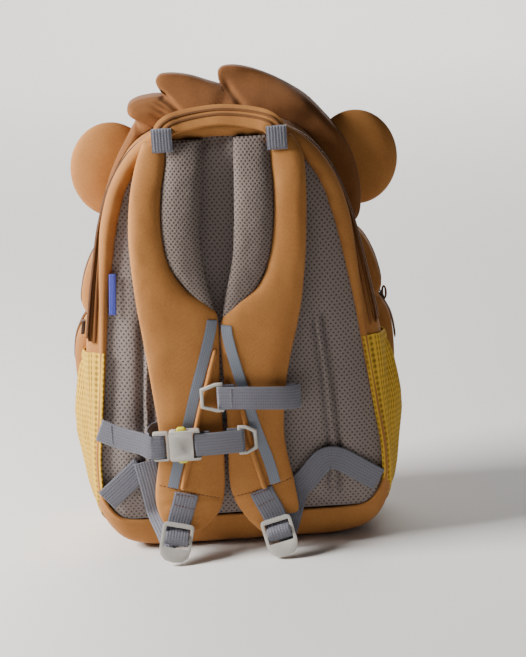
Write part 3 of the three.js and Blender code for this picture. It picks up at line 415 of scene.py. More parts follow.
def brushedFelt(name, light, dark):
    # needled felt: short matted fibres, no shine
    material, tree = startMaterial(name, Roughness=0.95, IOR=1.5, Sheen_Weight=0.4, Sheen_Roughness=0.6)
    place = addNode(tree, "ShaderNodeTexCoord")
    fibres = addNode(tree, "ShaderNodeTexNoise", {"Scale": 700.0, "Detail": 4.0, "Distortion": 1.5},
                     {"Vector": place.outputs["Object"]}).outputs["Fac"]
    return finishMaterial(material, fibres, dark, light, (0.35, 0.65), fibres, 0.4, 0.4)


def spunThread(name, light, dark):
    # bonded polyester thread: two plies with a slight gloss
    material, tree = startMaterial(name, Roughness=0.55, IOR=1.5)
    place = addNode(tree, "ShaderNodeTexCoord")
    plies = addNode(tree, "ShaderNodeTexNoise", {"Scale": 1400.0}, {"Vector": place.outputs["Object"]})
    return finishMaterial(material, plies.outputs["Fac"], dark, light, (0, 1), plies.outputs["Fac"], 0.3, 0.1)


tanPolyester = wovenPolyester("tanPolyesterTwill", "#b57c40", "#965f29")
# the mane's cloth is a darker brown than the tan, and its colour is darkened further with painted shade; the piping
# shares this colour
maneTwillPaintedShade = wovenPolyester("maneTwillPaintedShadeMaterial", "#875424", "#663c16")
zipTape = wovenPolyester("brownZipTape", "#7f4f22", "#5f3917", pitch=0.8)
brownZip = coilZip("brownCoilZip", "#6b4422", "#3c2411")
paleAcetal = mouldedAcetal("warmGreyAcetal", "#b9b4ad", "#aaa59e")
darkFelt = brushedFelt("darkBrownFelt", "#33231a", "#21150e")
finishes = {  # a material, and the slot that it belongs to
    "canvas": (tanPolyester, "canvas"),
    "piping": (maneTwillPaintedShade, "canvas"),
    # the fold strips are dark brown tape: painted shade along the handle's sewn folds
    "fold": (zipTape, "canvas"),
    "mane": (maneTwillPaintedShade, "head"),
    "pocket": (wovenPolyester("pocketPolyesterTwill", "#b07a40", "#8c5826"), "head"),
    # the third colour of each spacer mesh is painted shade in its holes
    "panel": (spacerMesh("greySpacerMesh", "#8a7d78", "#776b66", "#413a36"), "mesh"),
    "lining": (spacerMesh("liningSpacerMesh", "#7f716a", "#6b5e58", "#3c3430", pitch=2.8), "mesh"),
    # the dark yellow is the knit's shaded colour, painted into the grooves of its ribs
    "knit": (knittedStretch("yellowStretchKnit", "#d8ab35", "#8a6818"), "stretch"),
    "webbing": (wovenWebbing("greyPolyesterWebbing", "#6a6a74", "#414149"), "webbing"),
    "plastic": (paleAcetal, "plastic"),
    "arms": (mouldedAcetal("yellowAcetal", "#ded63a", "#cfc42c"), "arm"),
    "stripe": (beadedTape("glassBeadTape", "#787e8a", "#5e646f"), "stripe"),
    "tape": (zipTape, "zip"),
    "coil": (brownZip, "zip"),
    "mainSlider": (brownZip, "plastic"),
    "label": (wovenWebbing("blueWovenRibbon", "#4850bb", "#333a9a", ridge=0.9), "label"),
    "muzzle": (brushedFelt("creamFelt", "#e6caa0", "#d2b184"), "face"),
    "dark": (darkFelt, "dark"),
    "brownStitches": (spunThread("redBrownThread", "#6a3d1f", "#4a2811"), "canvas"),
    "tanStitches": (spunThread("tanThread", "#c08c55", "#94652f"), "face"),
    "greyStitches": (spunThread("greyThread", "#8b8a90", "#66656b"), "webbing"),
}
print("materials made")


# Stitches: one small capsule each, gathered by thread colour

stitching = {"length": 2.3, "pitch": 3.6, "thick": 0.62, "proud": 0.12}
threads = {}


def stitchAlong(path, thread="brown", pitch=stitching["pitch"]):
    # path: places in mm with the way out of the cloth at each
    shape = threads.setdefault(thread, bmesh.new())
    thick = stitching["thick"]
    left = pitch / 2
    for (a, na), (b, nb) in zip(path, path[1:]):
        span = (b - a).length
        if span < 1e-6:
            continue
        along = (b - a) / span
        while left <= span:
            spot = a + along * left
            out = (na.lerp(nb, left / span)).normalized()
            side = along.cross(out).normalized()
            out = side.cross(along)
            turn = Matrix((along, side, out)).transposed().to_4x4()
            size = Matrix.Diagonal((stitching["length"], thick, thick * 0.8, 1))
            place = Matrix.Translation((spot + out * stitching["proud"]) * mm)
            bmesh.ops.create_icosphere(shape, subdivisions=1, radius=0.5 * mm, matrix=place @ turn @ size)
            left += pitch
        left -= span


# Body outline, the same shares as the solids: backX, backZ, fullX, fullZ, rim

body = {"half": 100, "high": 286, "depth": 96, "seam": -50, "topTaper": 0.18, "frontRound": 10, "wall": 2.5,
        "steps": 216, "frontShare": 0.72}
outline = [
    (0.00, 0.073, 0.00, 0.000, 0.20), (0.62, 0.073, 0.58, 0.000, 0.20), (0.83, 0.084, 0.84, 0.028, 0.22),
    (0.935, 0.133, 0.965, 0.105, 0.25), (0.955, 0.210, 0.978, 0.224, 0.27), (0.915, 0.332, 0.98, 0.343, 0.30),
    (0.875, 0.448, 0.975, 0.455, 0.34), (0.84, 0.566, 0.925, 0.573, 0.44), (0.80, 0.685, 0.865, 0.685, 0.68),
    (0.755, 0.783, 0.80, 0.783, 0.86), (0.665, 0.874, 0.70, 0.874, 0.84), (0.50, 0.948, 0.53, 0.948, 0.88),
    (0.26, 0.985, 0.28, 0.986, 0.96), (0.00, 0.992, 0.00, 1.000, 1.00),
]
bodyRows = [(0.00, 0.00, 0), (0.06, 0.70, 0), (0.14, 0.95, 0), (0.28, 1.00, 0), (0.60, 1.00, 0), (0.86, 1.00, 0.03),
            (0.95, 0.99, 0.28), (1.00, 0.96, 1)]


def sideX(share):
    return share * body["half"]


def levelZ(share):
    return share * body["high"]


def bodyRing(columnX, columnZ, steps):
    right = [(sideX(row[columnX]), levelZ(row[columnZ])) for row in outline]
    left = [(-x, z) for x, z in right[1:-1][::-1]]
    ring = ringOf(right + left, steps)
    for place in ring:
        place.y = max(place.y, right[0][1])
    return ring


backRing = bodyRing(0, 1, body["steps"])
fullRing = bodyRing(2, 3, body["steps"])
backNormals = outward(backRing)
fullNormals = outward(fullRing)
rimShares = [rowsAt([(row[4],) for row in outline + outline[-2:0:-1] + outline[:1]], i / body["steps"])[0]
             for i in range(body["steps"])]


def depthAt(share, z):
    return body["seam"] + share * body["depth"] * (1 - body["topTaper"] * ease(0, 1, z / body["high"]))


def bodyPlace(u, t, grow=0.0):  # u round the gusset, t from the back seam to the front and on to its middle
    i = round(u * body["steps"]) % body["steps"]
    depth, full, rounding = rowsAt(bodyRows, min(t, 1))
    flat = backRing[i].lerp(fullRing[i], min(max(full, 0), 1))
    normal = backNormals[i].lerp(fullNormals[i], min(max(full, 0), 1))
    flat = flat + normal * (grow - max(rounding, 0) * body["frontRound"])
    y = depthAt(min(depth, 1), flat.y) + grow * ease(0.8, 1, t)
    if t > 1:
        middle = Vector((0, levelZ(0.5)))
        flat = flat.lerp(middle, t - 1)
        y = depthAt(1, flat.y) + grow
    return Vector((flat.x, y, flat.y))


def halfWidths(ring, inset):
    places = [place - normal * inset for place, normal in zip(ring, outward(ring))]
    return [(p.y, p.x) for p in places[:len(ring) // 2 + 1]]


backWide = halfWidths(backRing, 0)
fullWide = halfWidths(fullRing, 0)
fullShares = [row[:2] for row in bodyRows]


def bodyWide(y, z):  # half the width of the gusset at a place
    full = between(fullShares, (y - body["seam"]) / (depthAt(1, z) - body["seam"]))
    return lerp(between(backWide, max(z, 21)), between(fullWide, max(z, 0.5)), min(max(full, 0), 1))


def bodySkin(u, v):
    front = body["frontShare"]
    t = v / front if v < front else 1 + (v - front) / (1 - front)
    place = bodyPlace(u, t)
    if 0.03 < t < 1:
        crease = noise.noise(place * 0.028) * 1.1 + noise.noise(place * 0.07) * 0.35
        sag = ease(0.03, 0.2, t) * ease(1, 0.85, t) * ease(2, 16, place.z)
        normal = fullNormals[round(u * body["steps"]) % body["steps"]]
        place += Vector((normal.x, 0, normal.y)) * crease * sag
    return place


bodySpan = lengthOf(backRing)
shell = gridPiece("gusset", body["steps"], 46, bodySkin, lambda u, v: (u * bodySpan, v * 130))
thicken(shell, body["wall"])
dress(shell, finishes["canvas"], ["main_shell"])
cutBody = newPiece("cutBody", closeEnds(gridShape(
    body["steps"], 24, lambda u, v: bodyPlace(u, v / 0.8 if v < 0.8 else 1 + (v - 0.8) / 0.2, 0.3))))
print("gusset made")


# Back panel: padded spacer mesh with two sewn channels

panel = {"proud": 4.5, "inset": 2.8, "tuck": 7.0, "crown": 19, "channelDeep": 3.4, "channelWide": 2.0, "apart": 6.5,
         "columns": 150, "rows": 210, "wall": 2.6}
channelRows = [(0.56, 0.58), (0.45, 0.605), (0.33, 0.63), (0.20, 0.64), (0.12, 0.62)]
panelWide = halfWidths(backRing, panel["inset"])
panelLow = panelWide[0][0]
panelHigh = panelWide[-1][0]


def channelAt(z):
    share = (levelZ(channelRows[0][0]) - z) / (levelZ(channelRows[0][0]) - levelZ(channelRows[-1][0]))
    return rowsAt([(row[1],) for row in channelRows], share)[0] * body["half"]


def panelPlace(u, v):
    z = lerp(panelLow, panelHigh, (1 - math.cos(math.pi * v)) / 2)
    half = between(panelWide, min(z, panelHigh - 0.01)) if v < 1 else 0
    x = math.sin((2 * u - 1) * math.pi / 2) * half
    edge = min(half - abs(x), (z - panelLow) * 1.0, (panelHigh - z) * 1.2)
    y = body["seam"] - panel["proud"] * ease(-1, panel["crown"], edge) + panel["tuck"] * (1 - ease(0, 0.9, edge))
    fade = ease(levelZ(0.58), levelZ(0.53), z) * ease(levelZ(0.10), levelZ(0.14), z)
    for offset, deep in ((0, 1), (-panel["apart"], 0.7)):
        y += panel["channelDeep"] * deep * bell(abs(x) - channelAt(z) - offset, panel["channelWide"]) * fade
    y -= 1.2 * bell(abs(x) - channelAt(z) + 3.2, 2.6) * fade
    y += 0.5 * noise.noise(Vector((x * 0.05, 3, z * 0.03)))
    pull = ease(26, 4, edge) * ease(levelZ(0.75), levelZ(0.98), z)
    y += 0.7 * pull * math.sin(x * 0.55)
    return (x, y, z)


panelPiece = newPiece("backPanel", faceTowards(
    gridShape(panel["columns"], panel["rows"], panelPlace, lambda u, v: (u * 180, v * 262)), Vector((0, -1, 0))))
thicken(panelPiece, panel["wall"])
dress(panelPiece, finishes["panel"], ["back_panel"])
panelTree = treeOf(panelPiece)
for sign in sides.values():
    for offset in (0, -panel["apart"]):
        levels = [lerp(levelZ(0.555), levelZ(0.13), k / 59) for k in range(60)]
        stitchAlong([layOn(panelTree, sign * (channelAt(z) + offset), z) for z in levels], "grey")
print("back panel made")


# Rim: padded roll round the panel, thin low down and full at the crown

rim = {"radius": 6.3, "seam": 1.5, "around": 18, "pleats": 0.9, "pleatPitch": 1.25}


def rimPlace(u, v):
    i = round(u * body["steps"]) % body["steps"]
    radius = rimShares[i] * rim["radius"]
    angle = 2 * math.pi * v
    seam = backRing[i] - backNormals[i] * rim["seam"]
    out = radius * math.cos(angle)
    deep = radius * math.sin(angle)
    top = ease(levelZ(0.55), levelZ(0.8), seam.y)
    if deep > 0:
        inner = ease(0, -0.9, math.cos(angle))
        wave = math.sin(i * rim["pleatPitch"] + 3 * noise.noise(Vector((i * 0.11, 0, 0))))
        deep += top * inner * rim["pleats"] * wave - top * 0.6 * bell(out + radius * 0.62, 1.0)
        deep += 0.3 * noise.noise(Vector((i * 0.09, v * 3, 5))) * top
    else:
        deep = max(deep * 0.2, -0.2)
    return (seam.x + backNormals[i].x * out, body["seam"] - 0.3 - deep, seam.y + backNormals[i].y * out)


rimPiece = gridPiece("rimRoll", body["steps"], rim["around"], rimPlace, lambda u, v: (v * 30, u * bodySpan))
dress(rimPiece, finishes["canvas"], ["rim_roll"])
print("rim made")


# Bands: webbing, tapes and straps of cloth, with soft round edges

def bandPlace(path, width, thick, across, steps, smooth=True):
    if smooth:
        table = [tuple(p) for p in path]
        spots = [Vector(rowsAt(table, k / steps)) for k in range(steps + 1)]
    else:
        spots = [Vector(p) for p in path]
        steps = len(spots) - 1
    wides = [Vector(across)] * (steps + 1) if not isinstance(across, list) else [
        Vector(rowsAt([tuple(a) for a in across], k / steps)) for k in range(steps + 1)]
    widths = [width] * (steps + 1) if not isinstance(width, list) else [
        rowsAt([(w,) for w in width], k / steps)[0] for k in range(steps + 1)]
    frames = []
    length = 0.0
    for k, spot in enumerate(spots):
        along = (spots[min(k + 1, steps)] - spots[max(k - 1, 0)]).normalized()
        wide = (wides[k] - along * wides[k].dot(along)).normalized()
        if k:
            length += (spot - spots[k - 1]).length
        frames.append((spot, wide, along.cross(wide), length))

    def section(u):
        angle = 2 * math.pi * u
        x = min(max(math.cos(angle) * 1.16, -1), 1)
        return x, math.copysign(abs(math.sin(angle)) ** 0.6, math.sin(angle))

    def place(u, v):
        k = min(round(v * steps), steps)
        spot, wide, out, _ = frames[k]
        x, y = section(u)
        narrow, thin = (0.97, 0.35) if k in (0, steps) else (1, 1.0)
        return spot + wide * x * widths[k] / 2 * narrow + out * y * thick / 2 * thin

    def surface(u, v):
        k = min(round(v * steps), steps)
        return section(u)[0] * widths[k] / 2, frames[k][3]
    return place, surface, steps, frames


def band(name, path, width, thick, across, finish, nodes=(), steps=60, smooth=True, around=20):
    place, surface, steps, frames = bandPlace(path, width, thick, across, steps, smooth)
    dress(newPiece(name, closeEnds(gridShape(around, steps, place, surface))), finishes[finish], nodes)
    return frames


# Main zip over the crown: its tape and coil, between rolls of piping

zipper = {"share": 0.205, "width": 12, "thick": 1.2, "coil": 2.6, "low": 0.50, "dive": 2.2}
piping = {"backPiping": 0.075, "zipPiping": 0.135, "frontPiping": 0.275}
crown = [i for i in range(body["steps"]) if fullRing[i].y > levelZ(zipper["low"])]


def zipPath(proud):  # the ends dive into the gusset
    low = levelZ(zipper["low"])
    return [bodyPlace(i / body["steps"], zipper["share"], proud - zipper["dive"] * ease(low + 9, low, fullRing[i].y))
            for i in crown]


band("mainZipTape", zipPath(0.9), zipper["width"], zipper["thick"], (0, 1, 0), "tape", ["main_zip"], smooth=False)
band("mainZipCoil", zipPath(1.5), zipper["coil"], 1.5, (0, 1, 0), "coil", smooth=False)
for name, share in piping.items():
    band(name, [bodyPlace(i / body["steps"], share, 0.7) for i in crown], 2.4, 1.9, (0, 1, 0), "piping",
         smooth=False)
print("main zip made")


# Head: the padded front with three swept tufts

head = {"shift": 5, "start": -8, "depth": 45, "middle": levelZ(0.84), "hub": 0.55, "steps": 300, "crown": 5,
        "creaseDeep": 3.0, "creaseWide": 2.0}
headOutline = [
    (0.81, 0.720), (0.855, 0.776), (0.83, 0.853), (0.77, 0.910), (0.66, 0.962), (0.545, 1.008),
    (0.435, 1.037), (0.315, 1.062), (0.17, 1.083), (0.06, 1.091), (-0.01, 1.088), (-0.035, 1.076),
    (-0.01, 1.058), (0.03, 1.044), (-0.08, 1.056), (-0.23, 1.075), (-0.35, 1.082), (-0.42, 1.079),
    (-0.445, 1.066), (-0.425, 1.050), (-0.395, 1.038), (-0.49, 1.036), (-0.585, 1.030), (-0.635, 1.019),
    (-0.64, 1.003), (-0.595, 0.986), (-0.65, 0.951), (-0.73, 0.906), (-0.80, 0.853), (-0.85, 0.790),
    (-0.84, 0.720), (-0.40, 0.705), (0.05, 0.700), (0.45, 0.705),
]
headRows = [(0.00, 0.955), (0.04, 0.98), (0.10, 0.995), (0.34, 1.00), (0.62, 0.99), (0.84, 0.94), (1.00, 0.84)]
headRing = ringOf([(sideX(x), levelZ(z)) for x, z in headOutline], head["steps"])
creases = [((3 + 5, 298.6), (-12, 262)), ((3 + 5, 298.6), (30, 268)), ((-34.5, 296.9), (-42, 266)),
           ((-34.5, 296.9), (-16, 276)), ((-54.5, 282), (-46, 262))]


def nearLine(x, z, start, end):
    a, b, p = Vector(start), Vector(end), Vector((x, z))
    share = min(max((p - a).dot(b - a) / (b - a).length_squared, 0), 1)
    return (p - a.lerp(b, share)).length, share


def headPlace(u, v):
    side = min(max((v - 0.25) / 0.4, 0), 1)
    way = 1 if side < 0.5 else -1  # creases and waves go into the cloth on both faces
    depth, size = rowsAt(headRows, side)
    spot = headRing[round(u * head["steps"]) % head["steps"]]
    x, z = spot.x * size, head["middle"] + (spot.y - head["middle"]) * size
    y = head["start"] + min(max(depth, 0), 1) * head["depth"]
    if v < 0.25 or v > 0.65:
        share = 1 - v / 0.25 if v < 0.25 else (v - 0.65) / 0.35
        x, z = Vector((x, z)).lerp(Vector((sideX(head["hub"]) * 0.5, head["middle"])), share)
        bulge = math.sin(min(share * 2.2, 1) * math.pi / 2)
        y += -2.2 * bulge if v < 0.25 else head["crown"] * bulge
    x += head["shift"]
    for start, end in creases:
        reach, share = nearLine(x, z, start, end)
        y += way * head["creaseDeep"] * bell(reach, head["creaseWide"]) * (1 - share) ** 0.6
    y = lerp(y, 16, 0.6 * ease(284, 308, z))  # the tufts are thinner than the head
    wave = noise.noise(Vector((x * 0.035, 1, z * 0.035))) * 1.2
    wave += noise.noise(Vector((x * 0.09, 2, z * 0.09))) * 0.4
    return (x, y + way * wave, z)


headSpan = lengthOf(headRing)
headPiece = gridPiece("maneCrest", head["steps"], 72, headPlace, lambda u, v: (u * headSpan, v * 190))
cutHead = twinOf(headPiece, "cutHead")
carve(headPiece, cutBody)
dress(headPiece, finishes["mane"], ["mane_crest"])
print("mane made")


# Ears: padded discs sewn behind the head's edge

ears = {"width": 55, "height": 63, "thick": 15, "y": 7, "steps": 96}
earPlaces = {"left": (-0.775, 0.870), "right": (0.835, 0.861)}
for side in sides:
    cx, cz = sideX(earPlaces[side][0]) + head["shift"], levelZ(earPlaces[side][1])

    def earPlace(u, v):
        angle = 2 * math.pi * u
        turn = math.pi * v
        size = math.sin(turn) ** 0.62
        deep = -math.copysign(abs(math.cos(turn)) ** 1.1, math.cos(turn)) * ears["thick"] / 2
        deep += 0.5 * noise.noise(Vector((math.cos(angle) * size * 1.6, math.sin(angle) * size * 1.6, v * 2)))
        return (cx + size * ears["width"] / 2 * math.cos(angle), ears["y"] + deep,
                cz + size * ears["height"] / 2 * math.sin(angle))
    piece = gridPiece(f"earPad_{side}", ears["steps"], 40, earPlace, lambda u, v: (u * 180, v * 80))
    carve(piece, cutHead, cutBody)
    dress(piece, finishes["canvas"], [f"ear_{side}"])
print("ears made")


# Front pocket: the lower front, with two padded lobes at each side

pocket = {"depth": 54, "start": 14, "middle": levelZ(0.40), "taper": 0.24, "steps": 240, "crown": 5}
pocketOutline = [
    (0.00, 0.140), (0.60, 0.140), (0.86, 0.155), (1.00, 0.215), (1.055, 0.300), (1.085, 0.370),
    (1.085, 0.425), (1.06, 0.470), (1.01, 0.505), (0.985, 0.520), (1.01, 0.545), (0.995, 0.585),
    (0.955, 0.630), (0.89, 0.670), (0.78, 0.700), (0.40, 0.712), (0.00, 0.712),
]
pocketRows = [(0.00, 0.955), (0.06, 0.99), (0.16, 1.00), (0.55, 1.00), (0.78, 0.95), (0.93, 0.86), (1.00, 0.74)]
pocketRing = ringOf([(sideX(x), levelZ(z)) for x, z in pocketOutline]
                    + [(-sideX(x), levelZ(z)) for x, z in pocketOutline[1:-1][::-1]], pocket["steps"])


def pocketPlace(u, v):
    side = min(max((v - 0.12) / 0.5, 0), 1)
    depth, size = rowsAt(pocketRows, side)
    share = 0.0
    if v < 0.12:
        share = (1 - v / 0.12) * 0.99999
    elif v > 0.62:
        share = (v - 0.62) / 0.38
    spot = pocketRing[round(u * pocket["steps"]) % pocket["steps"]] - Vector((0, pocket["middle"]))
    spot = spot * size * (1 - share)
    z = pocket["middle"] + spot.y
    taper = 1 - pocket["taper"] * ease(0, 1, z / levelZ(0.69))
    y = pocket["start"] + min(max(depth, 0), 1) * pocket["depth"] * taper
    if v > 0.62:
        y += pocket["crown"] * math.sin(min(share * 1.6, 1) * math.pi / 2)
    wave = noise.noise(Vector((spot.x, y, z)) * 0.03)
    out = Vector((spot.x, 0, spot.y)).normalized() if share < 0.5 and spot.length > 1 else Vector((0, 1, 0))
    return Vector((spot.x, y, z)) + out * wave * (1.2 if side > 0 else 0)


pocketSpan = lengthOf(pocketRing)
pocketPiece = gridPiece("frontPocket", pocket["steps"], 60, pocketPlace, lambda u, v: (u * pocketSpan, v * 170))
cutPocket = twinOf(pocketPiece, "cutPocket")
carve(pocketPiece, cutBody, cutHead)
dress(pocketPiece, finishes["pocket"], ["front_pocket"])
pocketTree = treeOf(pocketPiece)
print("front pocket made")


# Front zip round the pocket's upper side, its slider and pull

frontZip = {"y": 30.6, "width": 7.2, "thick": 1.0, "coil": 2.4, "coilThick": 1.2, "low": 0.40, "hiddenX": 84}


def pocketRim(i, proud):
    flat = pocketRing[i] + (pocketRing[i] - Vector((0, pocket["middle"]))).normalized() * proud
    return Vector((flat.x, frontZip["y"], flat.y))


upper = [i for i in range(pocket["steps"])
         if pocketRing[i].y > levelZ(frontZip["low"]) and abs(pocketRing[i].x) >= frontZip["hiddenX"]]
for side, sign in sides.items():
    run = [i for i in upper if pocketRing[i].x * sign > 0]
    band(f"frontZipTape_{side}", [pocketRim(i, 0.5) for i in run], frontZip["width"], frontZip["thick"], (0, 1, 0),
         "tape", ["pocket_zip"], smooth=False)
    band(f"frontZipCoil_{side}", [pocketRim(i, 0.9) for i in run], frontZip["coil"], frontZip["coilThick"], (0, 1, 0),
         "coil", smooth=False)
print("front zip made")


# Plastic pieces: the solids' own shapes with moulded edges

def moulded(name, node, finish, radius):
    shape = bmesh.new()
    shape.from_mesh(bpy.data.objects[node].data)
    bmesh.ops.remove_doubles(shape, verts=shape.verts, dist=1e-6)
    bmesh.ops.dissolve_limit(shape, angle_limit=math.radians(4), verts=shape.verts, edges=shape.edges)
    sharp = [e for e in shape.edges if len(e.link_faces) == 2 and e.calc_face_angle(0) > math.radians(28)]
    bmesh.ops.bevel(shape, geom=sharp, offset=radius * mm, segments=2, profile=0.5, affect="EDGES", material=-1,
                    clamp_overlap=True)
    bmesh.ops.triangulate(shape, faces=[f for f in shape.faces if len(f.verts) > 4])
    return dress(newPiece(name, shape), finishes[finish], [node], angle=32)


moulded("mainSlider", "main_zip_slider", "mainSlider", 0.7)
moulded("frontSlider", "pocket_zip_slider", "coil", 0.6)
for side in sides:
    moulded(f"ladderLock_{side}", f"ladder_lock_{side}", "plastic", 0.5)
    moulded(f"railRing_{side}", f"rail_ring_{side}", "plastic", 0.5)
socket = moulded("buckleSocket", "buckle_socket", "plastic", 0.6)
thumb = {"radius": 20, "deep": 0.9, "aside": 3.4}  # the shallow thumb hollow on the buckle's face
low, high = (Vector(corner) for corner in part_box("buckle_socket"))
spot = Vector(((low.x + high.x) / 2 + thumb["aside"] * mm, low.y - (thumb["radius"] - thumb["deep"]) * mm,
               (low.z + high.z) / 2))
shape = bmesh.new()
bmesh.ops.create_icosphere(shape, subdivisions=5, radius=thumb["radius"] * mm, matrix=Matrix.Translation(spot))
hollow = newPiece("thumbHollow", shape)
carve(socket, hollow)
crisp(socket, 32)
bpy.data.objects.remove(hollow)
moulded("bucklePlug", "buckle_plug", "plastic", 0.5)
moulded("buckleArms", "buckle_arms", "arms", 0.6)
print("plastic made")


# Side pockets: gathered stretch knit under a plain hem

sidePocket = {"high": 120, "bottom": 14, "back": -49.5, "front": 20, "slope": 11, "root": 0.78, "hem": 6.5,
              "columns": 120, "rows": 84, "wall": 1.1, "gather": 1.1, "lap": 4.6, "lapOut": 4.2, "tuck": 17}
sideRows = [(0.00, 0.935), (0.06, 0.985), (0.14, 1.015), (0.26, 1.040), (0.40, 1.062), (0.54, 1.088), (0.66, 1.086),
            (0.76, 1.066), (0.86, 1.042), (0.94, 1.012), (1.00, 0.996)]
sideOut = [(between(sideRows, k / 20),) for k in range(21)]
for side, sign in sides.items():
    def sidePlace(u, v):
        out = rowsAt(sideOut, v)[0]
        hem = sidePocket["hem"]
        z = sidePocket["bottom"] + v * (sidePocket["high"] - sidePocket["slope"] * (u - 0.5))
        y = lerp(sidePocket["back"] + sidePocket["tuck"] * ease(0.26, 0, v), sidePocket["front"], u)
        bulge = math.sin(math.pi * u) ** 0.42 if 0 < u < 1 else 0
        x = sideX(sidePocket["root"]) + (sideX(out) - sideX(sidePocket["root"])) * bulge
        fade = math.sin(math.pi * v ** 0.8) if v < 1 else 0
        below = (1 - v) * sidePocket["high"]
        gather = ease(hem * 0.7, hem * 1.3, below) * ease(70, 12, below) * sidePocket["gather"]
        x += 0.9 * fade * math.cos(10 * math.pi * u) * 0.6
        x += gather * math.sin(58 * u + 3 * noise.noise(Vector((u * 6, below * 0.03, sign))))
        x += 1.2 * bell(below - hem * 0.45, 3.4) - 1.1 * bell(below - hem * 1.15, 1.2)
        lap = ease(0.03, 0, u) * ease(0.08, 0.2, v)  # the back edge laps over the rim
        near = bodyWide(y, z) + 0.5 + sidePocket["wall"] - sidePocket["lap"] * lap
        x = max(lerp(near, x, ease(0, 0.12, v)), near)
        return (sign * x, y - sidePocket["lapOut"] * lap, z)
    piece = newPiece(f"sidePocket_{side}", faceTowards(
        gridShape(sidePocket["columns"], sidePocket["rows"], sidePlace, lambda u, v: (u * 118, v * 122)),
        Vector((sign, 0, 0))))
    thicken(piece, sidePocket["wall"])
    carve(piece, cutPocket)
    dress(piece, finishes["knit"], [f"side_pocket_{side}"], angle=70)
    high = sidePocket["high"] * mm


# Shoulder straps: padded twill, rolled over mesh at the top; height, edges, face and thickness in shares

strap = {"stand": 22, "pad": 12, "liningPad": 12.5, "shrink": 0.4, "square": 0.62, "around": 56, "rows": 190}
strapRows = {
    "left": [
        (0.965, -0.48, -0.35, 0.40, 0.60), (0.920, -0.535, -0.345, 0.58, 0.78), (0.853, -0.585, -0.385, 0.84, 0.95),
        (0.776, -0.612, -0.400, 0.98, 1.00), (0.699, -0.614, -0.375, 1.00, 0.96), (0.636, -0.605, -0.275, 0.97, 0.88),
        (0.590, -0.596, -0.118, 0.93, 0.80), (0.545, -0.582, -0.084, 0.88, 0.72), (0.413, -0.546, -0.102, 0.78, 0.62),
        (0.280, -0.522, -0.106, 0.74, 0.60), (0.161, -0.575, -0.122, 0.73, 0.60), (0.105, -0.560, -0.170, 0.70, 0.55),
        (0.063, -0.500, -0.290, 0.64, 0.42),
    ],
    "right": [
        (0.965, 0.46, 0.33, 0.40, 0.60), (0.920, 0.525, 0.315, 0.58, 0.78), (0.853, 0.532, 0.322, 0.84, 0.95),
        (0.776, 0.520, 0.310, 0.98, 1.00), (0.699, 0.500, 0.270, 1.00, 0.96), (0.636, 0.476, 0.190, 0.97, 0.88),
        (0.590, 0.455, 0.022, 0.93, 0.80), (0.545, 0.425, -0.072, 0.88, 0.72), (0.413, 0.330, -0.076, 0.78, 0.62),
        (0.280, 0.290, -0.078, 0.74, 0.60), (0.161, 0.336, -0.084, 0.73, 0.60), (0.095, 0.350, -0.010, 0.68, 0.52),
        (0.045, 0.290, 0.110, 0.60, 0.38),
    ],
}
liningRows = {
    "left": [
        (0.965, -0.345, -0.095, 0.40, 0.62), (0.920, -0.350, -0.105, 0.62, 0.85), (0.853, -0.390, -0.130, 0.86, 0.97),
        (0.776, -0.405, -0.155, 0.99, 1.00), (0.699, -0.380, -0.150, 0.98, 0.98), (0.636, -0.280, -0.126, 0.90, 0.86),
        (0.600, -0.190, -0.108, 0.82, 0.70), (0.565, -0.115, -0.092, 0.76, 0.45),
    ],
    "right": [
        (0.965, 0.325, 0.088, 0.40, 0.62), (0.920, 0.322, 0.080, 0.62, 0.85), (0.853, 0.326, 0.070, 0.86, 0.97),
        (0.776, 0.314, 0.055, 0.99, 1.00), (0.699, 0.274, 0.030, 0.98, 0.98), (0.636, 0.192, -0.015, 0.90, 0.86),
        (0.600, 0.110, -0.040, 0.82, 0.70), (0.565, 0.010, -0.064, 0.76, 0.45),
    ],
}
crossLines = {"left": ((-57, 52.5), (-15, 40)), "right": ((-8, 39.5), (31, 50))}  # sewn across the lower ends


def padPiece(name, rows, pad, shrink=0.0, cross=None):
    def at(v):
        height, edge, other, face, thick = rowsAt(rows, v)
        return height, min(edge, other), max(edge, other), face, thick

    def place(u, v):
        height, x0, x1, face, thick = at(v)
        closing = math.sin(min(v / 0.02, (1 - v) / 0.02, 1) * math.pi / 2) ** 0.6 if 0 < v < 1 else 0.0
        middle = sideX(x0 + x1) / 2
        half = (sideX(x1 - x0) / 2 - shrink) * (0.82 + 0.18 * closing)
        c, s = math.cos(2 * math.pi * u), math.sin(2 * math.pi * u)
        across = math.copysign(abs(c) ** strap["square"], c)
        up = math.copysign(abs(s) ** strap["square"], s)
        x = middle + half * across
        z = levelZ(height)
        y = body["seam"] - face * strap["stand"] + thick * pad / 2
        y -= up * thick * pad / 2 * (0.25 + 0.75 * closing)
        if up > 0:
            y -= 0.8 * (1 - across * across)
            if cross:
                y += 0.8 * bell(z - (cross[0] + cross[1] * (x - middle)), 1.0)
        for size, far, seed, tall in ((0.7, 0.05, 4, 0.035), (0.22, 0.16, 7, 0.12)):
            y += size * noise.noise(Vector((x * far, seed, z * tall)))
        y += 0.5 * noise.noise(Vector((x * 0.1, 9, z * 0.25))) * ease(levelZ(0.3), levelZ(0.12), z)
        return (x, y, z)
    length = levelZ(rows[0][0] - rows[-1][0])
    piece = gridPiece(name, strap["around"], strap["rows"], place, lambda u, v: (abs(2 * u - 1) * 60, v * length))
    return piece, at


